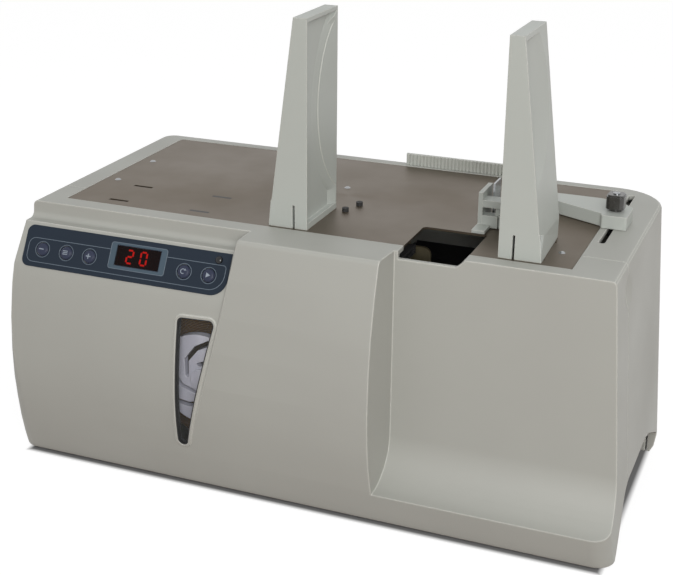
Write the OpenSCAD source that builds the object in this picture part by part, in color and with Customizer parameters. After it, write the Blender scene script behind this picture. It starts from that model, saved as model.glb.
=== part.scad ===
// Table-top banknote strapping machine: two-part moulded casing with a steel
// deck, two lift-off bundle guides, a sliding stop arm, a slanted key panel,
// and the tape reel, tape feed and press head inside.
// Millimetres. +X to the operator's right, +Y to the rear, +Z up.
// Origin: middle of the footprint, on the table.

/* [Casing] */
// Height of the casing, table to rim
case_h = 179.2; // [178:0.1:181]
// Half width of the casing at its rim
case_top_half_w = 193.5; // [193:0.1:196]
// Half width of the casing at the table
case_foot_half_w = 208.3; // [206:0.1:210]
// Wall thickness of the mouldings
wall = 3; // [2.6:0.1:3.2]
// Gap between the front cover and the rear housing
seam_gap = 0.6; // [0.4:0.1:0.8]

/* [Recess] */
// Left end of the hand recess at its front edge
recess_x = 57; // [56:0.5:58]
// Radius of the recess floor's sweep
sweep_r = 31.9; // [30:0.1:33]

/* [Deck] */
// Thickness of the steel deck
deck_t = 1.5; // [1.2:0.1:1.6]
// Left edge of the opening in the deck
opening_x0 = 62; // [62:0.5:64]
// Right edge of the opening in the deck
opening_x1 = 103.5; // [102:0.5:104]

/* [Bundle guides] */
// Clear width between the two guides
guide_gap = 123; // [121:0.5:124]
// Height of a guide above the deck
guide_h = 131.8; // [125:0.1:135]
// Depth of a guide, front to back
guide_d = 49.2; // [48:0.1:50]
// Width of a guide at its foot
guide_foot_w = 24.5; // [24:0.1:25]
// Width of a guide at its top
guide_top_w = 8.8; // [8:0.1:10]

/* [Keys] */
// Radius of a key
key_r = 4.3; // [4:0.1:4.4]
// Travel of a key
key_travel = 0.8; // [0.5:0.1:0.8]

/* [Tape] */
// Width of the paper tape
tape_w = 30; // [28:0.5:30]
// Outer radius of the full tape roll
roll_r = 56; // [35:0.5:56]

/* [Hidden] */

eps = 0.01;
far = 400;
// Casing
front_y = -108.5;
rear_y = 108.5;
barrel_z = 82;
barrel_upper_r = 363;
barrel_lower_r = 210;
edge_r = 3;
seam_y = -39.5;
cover_foot_z = 2.5;
// Key panel: foot of its flat slope and the lean of the slope
panel_z = 142;
panel_top_z = 168;
panel_lean = 29.6;
panel_fall = 3.9;
ledge_y = -76;
cove_r = 4;
// Deck
deck_z = 179;
deck_x0 = -175.7;
deck_x1 = 165;
deck_y0 = -63.3;
deck_y1 = 97.8;
deck_gap = 0.3;
ledge_w = 5;
opening_y1 = -24.5;
notch_z = 174;
// Guides
guide_y0 = -60.7;
left_guide_x = -3;
right_guide_x = left_guide_x + guide_gap;
guide_wall = 2.5;
slot_pitch = 60;
slot_x = -22;
slot_ys = [-53.5, -20.8];
slot_l = 14;
slot_w = 2.6;
tab_l = 11.6;
tab_t = 2;
tab_drop = 9;
tab_x = left_guide_x - slot_x;
// Stop arm
arm_slot_x = 171.7;
arm_slot_w = 4;
arm_slot_y = [-10.2, 90.2];
arm_screw_y = 28.5;
// Reel and feed
reel_x = -64;
reel_z = 78;
wheel_r = 31.5;
tape_y0 = -69;
tape_y1 = tape_y0 + tape_w;
frame_y = -34;
frame_t = 2;
feed_x = 21;
feed_z = 128;
feed_r = 14;
pinch_r = 10;
nip_gap = 0.3;
// Gears: module, teeth and face width
gear_m = 1.5;
drive_teeth = 32;
motor_teeth = 16;
gear_w = 6;
gear_y0 = -30;
gear_play = 0.12;
pressure_angle = 20;
gear_plate_y = -22;
motor_z = feed_z - gear_m * (drive_teeth + motor_teeth) / 2;
// Hinge of the front cover
hinge_y = -88;
hinge_z = 12;
hinge_r = 2;
hinge_xs = [-150, 150];
// Base
base_z = 8;
base_t = 1.5;
base_half_w = 196;
base_y0 = -78;
base_y1 = 101;
floor_z = base_z + base_t;

// ---- Helpers -------------------------------------------------------------

// A (Y,Z) outline run along X
module along_x(x0, x1) translate([x0, 0, 0]) rotate([90, 0, 90]) linear_extrude(x1 - x0) children();
// An (X,Z) outline run along Y
module along_y(y0, y1) translate([0, y1, 0]) rotate([90, 0, 0]) linear_extrude(y1 - y0) children();
module rod_y(x, z, y0, y1, r) translate([x, y0, z]) rotate([-90, 0, 0]) cylinder(r = r, h = y1 - y0, $fn = 48);
module rod_x(y, z, x0, x1, r) translate([x0, y, z]) rotate([0, 90, 0]) cylinder(r = r, h = x1 - x0, $fn = 48);
module rod_z(x, y, z0, z1, r) translate([x, y, z0]) cylinder(r = r, h = z1 - z0, $fn = 48);
module box(x0, x1, y0, y1, z0, z1) translate([x0, y0, z0]) cube([x1 - x0, y1 - y0, z1 - z0]);
module rounded(w, h, r) hull() for (x = [r, w - r], y = [r, h - r]) translate([x, y]) circle(r, $fn = 24);

// ---- Casing form ---------------------------------------------------------

// Half width of the drafted sides at height z
function half_w(z) = case_foot_half_w + (case_top_half_w - case_foot_half_w) * z / case_h;
// Front of the barrel-shaped front at height z
function barrel_y(z) = let (r = z > barrel_z ? barrel_upper_r : barrel_lower_r)
    front_y + r - sqrt(r * r - pow(z - barrel_z, 2));
// Radius of the front corners in plan, smaller towards the rim
function front_corner_r(z) = 5 + 7 * min(1, max(0, (120 - z) / 80));
// Radius of the rear right corner in plan, larger towards the foot
function rear_corner_r(z) = 40 - 8 * z / case_h;
// How far the rear corners draw in at the foot
function foot_in(z) = 4.5 * pow(max(0, 14 - z) / 14, 2);
// How far the rounded rim draws in at height z, for a form whose top is at z_top
function rim_in(z, z_top) = z > z_top - edge_r
    ? edge_r - sqrt(max(0, edge_r * edge_r - pow(z - z_top + edge_r, 2))) : 0;

module corner_disc(x, y, sx, sy, r) translate([x - sx * r, y - sy * r, 0]) cylinder(r = r, h = eps, $fn = 32);

// One level of the casing, inset by t all round
module casing_slice(z, t) {
    z_top = case_h - t;
    w = half_w(z) - t - rim_in(z, z_top);
    y0 = barrel_y(z) + t + rim_in(z, z_top);
    y1 = rear_y - t - rim_in(z, z_top);
    fr = max(0.6, front_corner_r(z) - t);
    translate([0, 0, z - (z > 1 ? eps : 0)]) {
        corner_disc(-w, y0, -1, -1, fr);
        corner_disc(w, y0, 1, -1, fr);
        corner_disc(foot_in(z) - w, y1 - foot_in(z), -1, 1, 8 - t);
        corner_disc(w - foot_in(z), y1 - foot_in(z), 1, 1, rear_corner_r(z) - t);
    }
}

// The whole casing as a solid, inset by t
module casing_form(t = 0) hull()
    for (z = concat([0, 5, 14, 28, 44, 62, 82, 106, 130, 154],
                    [for (a = [0 : 30 : 90]) case_h - t - edge_r + edge_r * sin(a)]))
        casing_slice(z, t);

// Line of the left face behind the barrel, and the step's edge beside it
function left_face_y(z) = barrel_y(z) + panel_fall * pow(max(0, z - 45) / (panel_z - 45), 1.5);
function panel_y(z) = left_face_y(panel_z) + (z - panel_z) * tan(panel_lean);
function step_x(z) = -34.5 - 0.1407 * (case_h - z) - 0.000621 * pow(case_h - z, 2);

// Space in front of the left face: its slope, the ledge under the rim band
module left_face_outline() polygon(concat(
    [[-140, 200], [ledge_y, 200]],
    [for (a = [0 : 15 : 90]) [ledge_y - cove_r + cove_r * cos(a), panel_top_z + cove_r - cove_r * sin(a)]],
    [[panel_y(panel_top_z), panel_top_z]],
    [for (z = [panel_z : -8 : 46]) [left_face_y(z), z]],
    [[barrel_y(45), 45], [-140, 45]]));

module step_outline() polygon(concat([[-240, 200], [step_x(200), 200]],
    [for (z = [case_h : -12 : 47]) [step_x(z), z]], [[step_x(44), 44], [-240, 44]]));

module left_face_cut(grow = 0) intersection() {
    along_x(-far, 0) offset(delta = grow) left_face_outline();
    along_y(-150, -50) offset(delta = grow) step_outline();
}

// Hand recess: open to the right, its floor sweeping out to a lip
recess_back_y = -74;
sweep_z = 56;
sweep_end = 72.8;
lip_z = sweep_z - sweep_r * sin(sweep_end);
module recess_profile() polygon(concat(
    [[recess_back_y, 210], [recess_back_y, sweep_z]],
    [for (a = [0 : sweep_end / 8 : sweep_end + eps])
        [recess_back_y - sweep_r * (1 - cos(a)), sweep_z - sweep_r * sin(a)]],
    [[-101, lip_z - 0.6], [-150, lip_z - 0.6], [-150, 210]]));
module recess_plan() polygon([[recess_x - 0.4, -150], [recess_x, -106], [recess_x + 2.7, recess_back_y],
                              [recess_x + 2.7, -50], [260, -50], [260, -150]]);
module recess_cut(grow = 0) intersection() {
    along_x(0, far) offset(delta = grow) recess_profile();
    linear_extrude(230) offset(delta = grow) recess_plan();
}

// Finger grip under each side, between the front corner and the rear leg
module grip_cut() along_x(-far, far) polygon([
    [-200, -5], [-200, cover_foot_z], [-80, cover_foot_z], [-76, 5], [-66, 14], [-54.5, 26],
    [-46, 32.5], [-37, 35], [25, 35], [30, 33], [38, 31.5], [48, 27], [66.5, 18.7], [71.5, 15],
    [71.5, -5]]);

// Shallow scoop for a fingertip, across the seam on the right side
module finger_scoop() translate([half_w(164) + 35.2, seam_y, 164]) sphere(37, $fn = 128);

module front_form(t = 0) difference() {
    casing_form(t);
    left_face_cut(t);
    recess_cut(t);
}

// Outline of the deck, grown by g
module deck_outline(g = 0) translate([deck_x0 - g, deck_y0 - g])
    rounded(deck_x1 - deck_x0 + 2 * g, deck_y1 - deck_y0 + 2 * g, 2 + g);
// Opening in the deck and through the rim in front of it
module opening_plan() polygon([[opening_x0, opening_y1 - 2], [opening_x0 + 2, opening_y1],
    [opening_x1 - 2, opening_y1], [opening_x1, opening_y1 - 2], [opening_x1, -90], [opening_x0, -90]]);

// ---- Rear housing --------------------------------------------------------

inlet_x = -150;
inlet_z = 52;
switch_x = -112;
module rear_housing() color("#ACACA4") difference() {
    union() {
        intersection() {
            difference() {
                casing_form();
                translate([0, 0, -eps * 4]) casing_form(wall);
                translate([0, 0, 170]) linear_extrude(20)
                    offset(delta = -ledge_w) deck_outline(deck_gap);
                translate([0, 0, deck_z - deck_t]) linear_extrude(20) deck_outline(deck_gap);
                grip_cut();
                // underside between the rear legs
                box(-180, 176, 80, 130, -5, 6);
            }
            box(-far, far, seam_y + seam_gap / 2, far, -5, 300);
        }
        // thick front of each rear leg
        for (s = [-1, 1]) intersection() {
            casing_form();
            box(s * 197.5 - 8.5, s * 197.5 + 8.5, 71.5, 98, -1, 24);
        }
        // screw posts, each webbed to its side wall
        for (s = [-1, 1], y = [-26, 62]) difference() {
            union() {
                rod_z(s * 187, y, floor_z, 60, 5);
                box(min(s * 187, s * 202.6), max(s * 187, s * 202.6), y - 1.5, y + 1.5, 36, 60);
            }
            rod_z(s * 187, y, floor_z - 1, floor_z + 22, 1.5);
        }
        // rails that guide the arm's nut under the rim
        for (x = [arm_slot_x - 7.5, arm_slot_x + 5.5])
            box(x, x + 2, -20, 97, 170, case_h - wall + 0.2);
    }
    // slot that the stop arm slides along
    for (y = arm_slot_y) rod_z(arm_slot_x, y, 165, 190, arm_slot_w / 2);
    box(arm_slot_x - arm_slot_w / 2, arm_slot_x + arm_slot_w / 2, arm_slot_y[0], arm_slot_y[1], 165, 190);
    // mains inlet and switch openings, and vent slots, in the rear wall
    box(inlet_x - 13.6, inlet_x + 13.6, 100, 115, inlet_z - 10.1, inlet_z + 10.1);
    box(switch_x - 10.6, switch_x + 10.6, 100, 115, inlet_z - 7.6, inlet_z + 7.6);
    for (i = [0 : 9]) box(20 + i * 12, 24 + i * 12, 100, 115, 60, 110);
    // slit in the front of each rear leg
    for (s = [-1, 1]) box(s * 200.5 - 0.6, s * 200.5 + 0.6, 70, 90, -1, 16);
    finger_scoop();
}

// ---- Front cover ---------------------------------------------------------

// Window over the reel, an upright wedge with round corners
module window_outline() hull() {
    translate([-70.1, 122]) circle(3.6, $fn = 24);
    translate([-51.4, 122.8]) circle(3.6, $fn = 24);
    translate([-71.6, 79]) circle(2.8, $fn = 16);
    translate([-72.4, 38.8]) circle(3.8, $fn = 24);
}
// A skin that follows the left face between two depths behind it
module left_skin(front, back) along_x(-110, -30) polygon(concat(
    [for (z = [20 : 8 : 140]) [left_face_y(z) + front, z]],
    [for (z = [140 : -8 : 20]) [left_face_y(z) + back, z]]));

// Places children on the panel: X across, Y up the slope, Z out of it
module on_panel() translate([0, left_face_y(panel_z), panel_z])
    rotate([90 - panel_lean, 0, 0]) children();
key_xs = [-177, -159, -141.6, -72.8, -55.4];
key_v = 12.1;
display_x0 = -122.6;
display_x1 = -91;
display_v0 = 9.5;
display_v1 = 22.4;
lamp_x = -50.4;
lamp_v = 22.7;

module panel_holes(grow = 0) {
    for (x = key_xs) translate([x, key_v]) circle(key_r + 0.35, $fn = 48);
    translate([lamp_x, lamp_v]) circle(1.3, $fn = 24);
    translate([display_x0 - grow, display_v0 - grow])
        square([display_x1 - display_x0 + 2 * grow, display_v1 - display_v0 + 2 * grow]);
}

module cover_knuckle(x) difference() {
    along_x(x, x + 10) hull() {
        translate([hinge_y, hinge_z]) circle(4.6, $fn = 32);
        translate([barrel_y(12) + 2.2, 9]) square([1, 9]);
    }
    rod_x(hinge_y, hinge_z, x - 1, x + 11, hinge_r + 0.05);
}

module front_cover() color("#ACACA4") difference() {
    union() {
        intersection() {
            difference() {
                front_form();
                translate([0, 0, -eps * 4]) front_form(wall);
                box(deck_x0 - deck_gap, deck_x1 + deck_gap, deck_y0 - deck_gap, 0, 160, 200);
                grip_cut();
            }
            box(-far, far, -far, seam_y - seam_gap / 2, -5, 300);
        }
        // raised rim round the reel window
        intersection() {
            along_y(-120, -80) difference() {
                offset(r = 1.7, $fn = 24) window_outline();
                window_outline();
            }
            left_skin(-0.6, 4.2);
        }
        for (x = hinge_xs) cover_knuckle(x - 5);
    }
    along_y(-120, -80) window_outline();
    on_panel() translate([0, 0, -8]) linear_extrude(20) panel_holes();
    // notch that carries the deck opening through the rim
    along_y(-90, -50) polygon([[opening_x0, 210], [opening_x0, notch_z], [98.5, notch_z],
                               [opening_x1, deck_z - 0.5], [opening_x1, 210]]);
    finger_scoop();
}

module reel_window() color("#C8CCCC", 0.3) intersection() {
    along_y(-120, -80) offset(delta = -0.15) window_outline();
    left_skin(1, 2.6);
}

// ---- Deck ----------------------------------------------------------------

module guide_slots(x) for (y = slot_ys)
    translate([x - slot_l / 2, y - slot_w / 2]) square([slot_l, slot_w]);
right_slot_x = right_guide_x + tab_x;

module deck_plate() color("#857D74") difference() {
    translate([0, 0, deck_z - deck_t]) linear_extrude(deck_t) difference() {
        deck_outline();
        opening_plan();
        for (i = [0 : 2]) guide_slots(slot_x - i * slot_pitch);
        guide_slots(right_slot_x);
    }
    rod_z(146, -54.2, 160, 200, 0.9);
    for (p = rivet_xys) rod_z(p[0], p[1], 160, 200, 1.5);
}

rivet_xys = [[-166.6, 36], [-166.7, -13], [-12.5, 32.4], [153.3, -37.7]];
module deck_rivets() color("#C9C9C6") for (p = rivet_xys) {
    rod_z(p[0], p[1], deck_z - 4, deck_z, 1.5);
    translate([p[0], p[1], deck_z]) rotate_extrude($fn = 32) intersection() {
        translate([0, -2.2]) circle(3.1, $fn = 48);
        square([3, 3]);
    }
}

// Plugs in the spare pair of guide slots
module slot_plugs() color("#9A948A") for (y = slot_ys)
    box(slot_x - slot_pitch - slot_l / 2 + 0.1, slot_x - slot_pitch + slot_l / 2 - 0.1,
        y - slot_w / 2 + 0.1, y + slot_w / 2 - 0.1, deck_z - 4, deck_z);

module deck_bumpers() color("#26241F") for (p = [[5, -15.5], [9, -0.5]])
    rod_z(p[0], p[1], deck_z, deck_z + 2.4, 2.2);

// Ribbed fence along the rear of the deck
fence_x = [6, 112];
fence_y = 101.5;
fence_pitch = 2.65;
module fence_outline() union() {
    translate([fence_x[0], fence_y + 1]) square([fence_x[1] - fence_x[0], 2]);
    for (i = [0 : 39]) translate([fence_x[0] + 0.6 + i * fence_pitch, fence_y])
        square([1.5, 1.4]);
}
module rear_fence() color("#A9ABA3") {
    translate([0, 0, case_h]) linear_extrude(8) fence_outline();
}

// ---- Bundle guides -------------------------------------------------------

// Outer edge of a guide at height h above the deck
function guide_w(h) = guide_foot_w + (guide_top_w - guide_foot_w) * (h - 13.3) / (guide_h - 13.3);

// Ramp that brings the floor of the inner field back to the face at the rear edge y1:
// it starts on an arc, deepest into the guide at half height
field_d = 3.5;
ramp_r = 74.4;
ramp_y = 31.4;
ramp_h = 71;
ramp_n = 12;
module field_ramp(y1) {
    hs = [for (i = [0 : ramp_n]) 3 + i * (guide_h - 4) / ramp_n];
    runs = [for (h = hs) max(1, y1 - ramp_y + sqrt(ramp_r * ramp_r - pow(h - ramp_h, 2)))];
    deep = field_d + 0.3;
    polyhedron(
        points = [for (i = [0 : ramp_n], k = [0 : 2])
            [k == 1 ? -field_d / runs[i] : deep, k == 0 ? y1 - deep * runs[i] / field_d : y1 + 1, hs[i]]],
        faces = concat([[0, 2, 1], [3 * ramp_n, 3 * ramp_n + 1, 3 * ramp_n + 2]],
            [for (i = [0 : 3 : 3 * ramp_n - 3], f = [[4, 3, 0], [4, 0, 1], [5, 4, 1, 2], [3, 5, 2, 0]])
                [for (k = f) i + k]]));
}

// One guide: the face towards the bundle lies on x = 0, the body grows to +x
module bundle_guide() {
    y0 = guide_y0;
    y1 = guide_y0 + guide_d;
    difference() {
        union() {
            along_y(y0, y1) polygon([[0, 0], [guide_foot_w, 0], [guide_foot_w, 13.3],
                                     [guide_top_w, guide_h], [0, guide_h]]);
            // flare at the front of the foot, fading out towards the rear
            hull() {
                along_y(y0, y0 + eps) polygon([[20, 0], [guide_foot_w + 1.7, 0], [guide_foot_w, 17], [20, 17]]);
                along_y(y1 - eps, y1) polygon([[20, 0], [guide_foot_w, 0], [guide_foot_w, 2], [20, 2]]);
            }
        }
        // hollow scooped out of the outer face by a large ball, behind the front wall
        intersection() {
            box(0, 60, y0 + guide_wall, y1 + 1, 30, guide_h - 3);
            translate([233.7, -69, 124.2]) sphere(228, $fn = 360);
        }
        // field in the inner face
        difference() {
            box(-1, field_d, y0 + 1.5, y1 + 0.5, 4, guide_h - 2.5);
            field_ramp(y1);
        }
        // hollow up from the foot
        along_y(y0 + 3, y1 - 3) polygon([[6, -1], [guide_foot_w - 2, -1], [guide_foot_w - 4, 30],
                                         [17, 40], [9, 75], [6, 75]]);
        // slit in the front wall
        box(8.3, 9.8, y0 - 1, y0 + 4, -1, 15);
    }
    // tabs that plug into the deck
    for (y = slot_ys) {
        box(tab_x - tab_l / 2, tab_x + tab_l / 2, y - tab_t / 2, y + tab_t / 2, 0.5 - tab_drop, 0);
        box(tab_x - tab_l / 2, guide_foot_w - 0.5, y - tab_t / 2, y + tab_t / 2, -1, 12);
    }
}

module left_guide() color("#A8ACA2") translate([left_guide_x, 0, deck_z]) mirror([1, 0, 0]) bundle_guide();
module right_guide() color("#A8ACA2") translate([right_guide_x, 0, deck_z]) bundle_guide();

// ---- Stop arm ------------------------------------------------------------

arm_z0 = case_h + 0.3;
module stop_arm() color("#A9ABA3") difference() {
    union() {
        // block on the rim, a beam across the deck, and a bar forward to the head
        translate([0, 0, arm_z0]) linear_extrude(188 - arm_z0) offset(r = 1.5, $fn = 16) offset(delta = -1.5)
            polygon([[165, 15.5], [181.5, 15.5], [181.5, 37], [175, 44], [160, 50], [106, 50],
                     [106, -12], [117, -12], [117, 40.5], [165, 19]]);
    }
    rod_z(arm_slot_x, arm_screw_y, 170, 200, 1.6);
    // hollow under the block
    box(167.5, 169, 20, 44, 170, 184);
}
module arm_screw() color("#8C8C8C") rod_z(arm_slot_x, arm_screw_y, 172, 197, 1.5);
module arm_nut() color("#8C8C8C") difference() {
    box(arm_slot_x - 4, arm_slot_x + 4, arm_screw_y - 6, arm_screw_y + 6, 172.5, 175.9);
    rod_z(arm_slot_x, arm_screw_y, 170, 180, 1.5);
}
module arm_knob() color("#3E3E3E") difference() {
    translate([arm_slot_x, arm_screw_y, 190]) {
        linear_extrude(8) offset(r = 3, $fn = 24) square([5.6, 5.6], center = true);
        translate([0, 0, 8]) linear_extrude(1) offset(r = 2.2, $fn = 24) square([5.6, 5.6], center = true);
        translate([0, 0, -1.9]) cylinder(r = 4, h = 2, $fn = 32);
    }
    rod_z(arm_slot_x, arm_screw_y, 185, 197.05, 1.6);
}
// Cross bars that join the arm to its stop plate
module arm_head() color("#A9ABA3") union() {
    box(96, 112, -12.4, -2, 192.6, 197.2);
    box(96, 105.9, -12.4, -5, arm_z0, 187.4);
    box(106, 112, -10, -2, 188, 193);
    box(104, 106, -10, -5, 187, 193);
}
// Upright plate that the bundle's edge rests against, with a foot
module side_stop() color("#A4A69C") {
    box(93.2, 96, -12.5, 10, arm_z0, 202);
    box(93.2, 101.5, -25.5, -12.4, arm_z0, arm_z0 + 2);
}
module stop_blade() color("#8F9293") box(99.6, 100.8, -2, 12, arm_z0, 205.5);

// ---- Base ----------------------------------------------------------------

foot_xys = [[-175, -62], [175, -62], [-170, 60], [170, 60]];
screw_xys = [for (s = [-1, 1], y = [-26, 62]) [s * 187, y]];
module base_plate() color("#7C7F82") difference() {
    union() {
        box(-base_half_w, base_half_w, base_y0, 69, base_z, floor_z);
        box(-178, 178, 68, base_y1, base_z, floor_z);
        for (s = [-1, 1]) box(s * 177 - 0.75, s * 177 + 0.75, -36, base_y1, floor_z - eps, 45);
        // hinge lugs
        for (x = hinge_xs) along_x(x + 5.6, x + 9.6) hull() {
            translate([hinge_y, hinge_z]) circle(4.4, $fn = 32);
            translate([base_y0, base_z]) square([4, 9]);
        }
    }
    for (x = hinge_xs) rod_x(hinge_y, hinge_z, x, x + 20, hinge_r);
    for (p = screw_xys) rod_z(p[0], p[1], 0, 20, 1.7);
}
module rubber_feet() color("#242424") for (p = foot_xys)
    translate([p[0], p[1], 0]) rotate_extrude($fn = 48)
        polygon([[0, 0], [8, 0], [9, 1], [10, base_z], [0, base_z]]);
module base_screws() color("#8C8C8C") for (p = screw_xys) {
    rod_z(p[0], p[1], base_z - 2.2, base_z, 3.2);
    rod_z(p[0], p[1], base_z, floor_z + 16, 1.5);
}
module hinge_pins() color("#8C8C8C") for (x = hinge_xs) rod_x(hinge_y, hinge_z, x - 6, x + 10, hinge_r);

// Plate that carries the reel, the feed and the front of the deck
module frame_plate() color("#8E9194") difference() {
    union() {
        along_y(frame_y, frame_y + frame_t) polygon([[-120, floor_z], [150, floor_z], [150, 177.5],
            [110, 177.5], [110, 138], [56, 138], [56, 177.5], [-120, 177.5]]);
        box(-120, 150, frame_y, frame_y + 14, floor_z, floor_z + 2);
        // flanges under the front of the deck
        for (x = [[-120, 0], [110, 124], [146.5, 150]])
            box(x[0], x[1], -62, frame_y + 1, 175.5, 177.5);
    }
    rod_y(reel_x, reel_z, -50, 0, 5);
    rod_y(feed_x, feed_z, -50, 0, 3.05);
    rod_y(feed_x - feed_r - pinch_r - nip_gap, feed_z, -50, 0, 3);
    // room for the guides' tabs
    for (x = [slot_x, slot_x - slot_pitch])
        box(x - 9, x + 9, -60, -46, 170, 180);
}
spacer_xzs = [[-14, 84], [58, 84], [-14, 158], [50, 158]];
module frame_spacers() color("#9EA1A3") for (p = spacer_xzs)
    rod_y(p[0], p[1], frame_y + frame_t, gear_plate_y, 3);
module gear_plate() color("#8E9194") difference() {
    along_y(gear_plate_y, gear_plate_y + 2) translate([-20, 72]) rounded(86, 92, 5);
    rod_y(feed_x, feed_z, -50, 0, 3.05);
    rod_y(feed_x, motor_z, -50, 0, 3.3);
}

// ---- Key panel -----------------------------------------------------------

overlay_h = 27.6;
module overlay_outline() hull() {
    translate([-186, 5]) circle(5, $fn = 32);
    translate([-186, overlay_h - 5]) circle(5, $fn = 32);
    translate([-53, 11]) circle(11, $fn = 48);
    translate([-44, overlay_h - 2]) square([2, 2]);
}
module panel_overlay() color("#3A434F") on_panel() linear_extrude(0.5) difference() {
    overlay_outline();
    panel_holes();
}
module display_window() color("#30100E", 0.7) on_panel() translate([0, 0, -2.8]) linear_extrude(3.2)
    translate([display_x0 + 0.1, display_v0 + 0.1])
        square([display_x1 - display_x0 - 0.2, display_v1 - display_v0 - 0.2]);

// Seven-segment block behind the window: three digits of raised bars
module display_module() color("#1E1E1E") on_panel() {
    translate([display_x0 - 1.5, display_v0 - 1.5, -8.8]) cube([34.6, 15.9, 5]);
    for (i = [0 : 2]) translate([display_x0 + 5.8 + i * 10, display_v0 + 2.2, -3.8]) seven_segments();
}
seg_l = 4.2;
seg_t = 0.9;
module seven_segments() {
    for (k = [0 : 2]) translate([0.6, k * seg_l, 0]) cube([seg_l - 1.2, seg_t, 0.4]);
    for (x = [-seg_t, seg_l], k = [0, 1])
        translate([x - (x > 0 ? 0.4 : -0.4), k * seg_l + seg_t + 0.1, 0]) cube([seg_t, seg_l - seg_t - 0.2, 0.4]);
}

module panel_board() color("#2F5D3A") on_panel() {
    translate([-186, 7.5, -12]) cube([140, 19.5, 1.6]);
    // key switches and the lamp
    for (x = key_xs) translate([x - 3, key_v - 3, -10.4]) cube([6, 6, 5]);
    translate([lamp_x, lamp_v, -10.4]) cylinder(r = 1.1, h = 10.6, $fn = 24);
    // display header
    translate([display_x0 + 2, display_v0 + 2, -10.4]) cube([27, 8, 1.6]);
}

// Key: a round cap through the panel with a flange behind it
module key_cap(i) color("#4A5461") on_panel() translate([key_xs[i], key_v, 0]) {
    translate([0, 0, -3.4]) cylinder(r = key_r, h = 4, $fn = 48);
    translate([0, 0, 0.6]) cylinder(r1 = key_r, r2 = key_r - 0.5, h = 0.4, $fn = 48);
    translate([0, 0, -4.4]) cylinder(r = key_r + 1.4, h = 1.1, $fn = 48);
}
module key_minus() key_cap(0);
module key_mode() key_cap(1);
module key_plus() key_cap(2);
module key_auto() key_cap(3);
module key_start() key_cap(4);

// ---- Reel ----------------------------------------------------------------

module reel_spindle() color("#9EA1A3") {
    rod_y(reel_x, reel_z, -90, frame_y + frame_t + 1, 5);
    rod_y(reel_x, reel_z, frame_y - 2, frame_y, 9);
}
module tape_reel() color("#A8A8B0") difference() {
    union() {
        rod_y(reel_x, reel_z, tape_y1, tape_y1 + 2, 58);
        rod_y(reel_x, reel_z, tape_y0 - 1, tape_y1 + 1, 22);
    }
    rod_y(reel_x, reel_z, -95, -30, 5.08);
}
module tape_roll() color("#D8CDB8") difference() {
    rod_y(reel_x, reel_z, tape_y0 + 0.2, tape_y1 - 0.2, roll_r);
    rod_y(reel_x, reel_z, -80, -30, 22);
}

// Hand wheel that clamps the roll: a disc parted into swept arms by curved slots
wheel_slots = 5;
function slot_xy(k) = let (r = 27.5 - 5.6 * k, a = 77 + 17 * k + 5 * k * k) [r * cos(a), r * sin(a)];
module wheel_slot() for (k = [0 : 2]) hull() {
    translate(slot_xy(k)) circle(1.9 - 0.2 * k, $fn = 16);
    translate(slot_xy(k + 1)) circle(1.7 - 0.2 * k, $fn = 16);
}
module reel_handwheel() color("#B4B4BC") difference() {
    union() {
        along_y(-91.5, -86.5) translate([reel_x, reel_z]) difference() {
            circle(wheel_r, $fn = 96);
            for (i = [0 : wheel_slots - 1]) rotate(i * 360 / wheel_slots) wheel_slot();
        }
        rod_y(reel_x, reel_z, -93, -86.5, 7.6);
        rod_y(reel_x, reel_z, -86.6, tape_y0 - 1, 8);
    }
    rod_y(reel_x, reel_z, -91, -60, 5.08);
}

// ---- Tape feed -----------------------------------------------------------

pinch_x = feed_x - feed_r - pinch_r - nip_gap;
module feed_shaft() color("#9EA1A3") rod_y(feed_x, feed_z, tape_y0 - 1, gear_plate_y + 4, 3);
module feed_roller() color("#2B2B2B") difference() {
    rod_y(feed_x, feed_z, tape_y0, tape_y1, feed_r);
    rod_y(feed_x, feed_z, -90, 0, 3);
}
module pinch_axle() color("#9EA1A3") rod_y(pinch_x, feed_z, tape_y0 - 1, frame_y + frame_t, 3);
module pinch_roller() color("#7A3B2E") difference() {
    rod_y(pinch_x, feed_z, tape_y0, tape_y1, pinch_r);
    rod_y(pinch_x, feed_z, -90, 0, 3.05);
}

// Involute tooth flank and gear outline
function inv_xy(rb, t) = [rb * (cos(t) + t * PI / 180 * sin(t)), rb * (sin(t) - t * PI / 180 * cos(t))];
function roll_angle(rb, r) = sqrt(max(0, pow(r / rb, 2) - 1)) * 180 / PI;
function turned(p, a) = [p[0] * cos(a) - p[1] * sin(a), p[0] * sin(a) + p[1] * cos(a)];
module gear_outline(teeth) {
    rp = gear_m * teeth / 2;
    rb = rp * cos(pressure_angle);
    ra = rp + gear_m;
    rf = rp - 1.25 * gear_m;
    flank0 = max(rb, rf);
    // half the tooth's angle at the base circle, less the play
    half = 90 / teeth + (tan(pressure_angle) * 180 / PI - pressure_angle) - gear_play / rp * 180 / PI / 2;
    flank = [for (k = [0 : 5]) let (r = flank0 + (ra - flank0) * k / 5)
        turned(inv_xy(rb, roll_angle(rb, r)), -half)];
    circle(rf + 0.02, $fn = 4 * teeth);
    for (i = [0 : teeth - 1]) rotate(i * 360 / teeth)
        polygon(concat([[rf * cos(half) * 0.98, -rf * sin(half)]], flank,
            [for (k = [5 : -1 : 0]) [flank[k][0], -flank[k][1]]], [[rf * cos(half) * 0.98, rf * sin(half)]]));
}
module drive_gear() color("#C9B98A") difference() {
    along_y(gear_y0, gear_y0 + gear_w) translate([feed_x, feed_z]) rotate(90) gear_outline(drive_teeth);
    rod_y(feed_x, feed_z, -60, 0, 3);
}
module motor_gear() color("#B9A25A") union() {
    along_y(gear_y0, gear_y0 + gear_w) translate([feed_x, motor_z])
        rotate(90 + 180 / motor_teeth) gear_outline(motor_teeth);
    rod_y(feed_x, motor_z, gear_y0 - 1, gear_plate_y + 1.9, 2.5);
}
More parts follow.
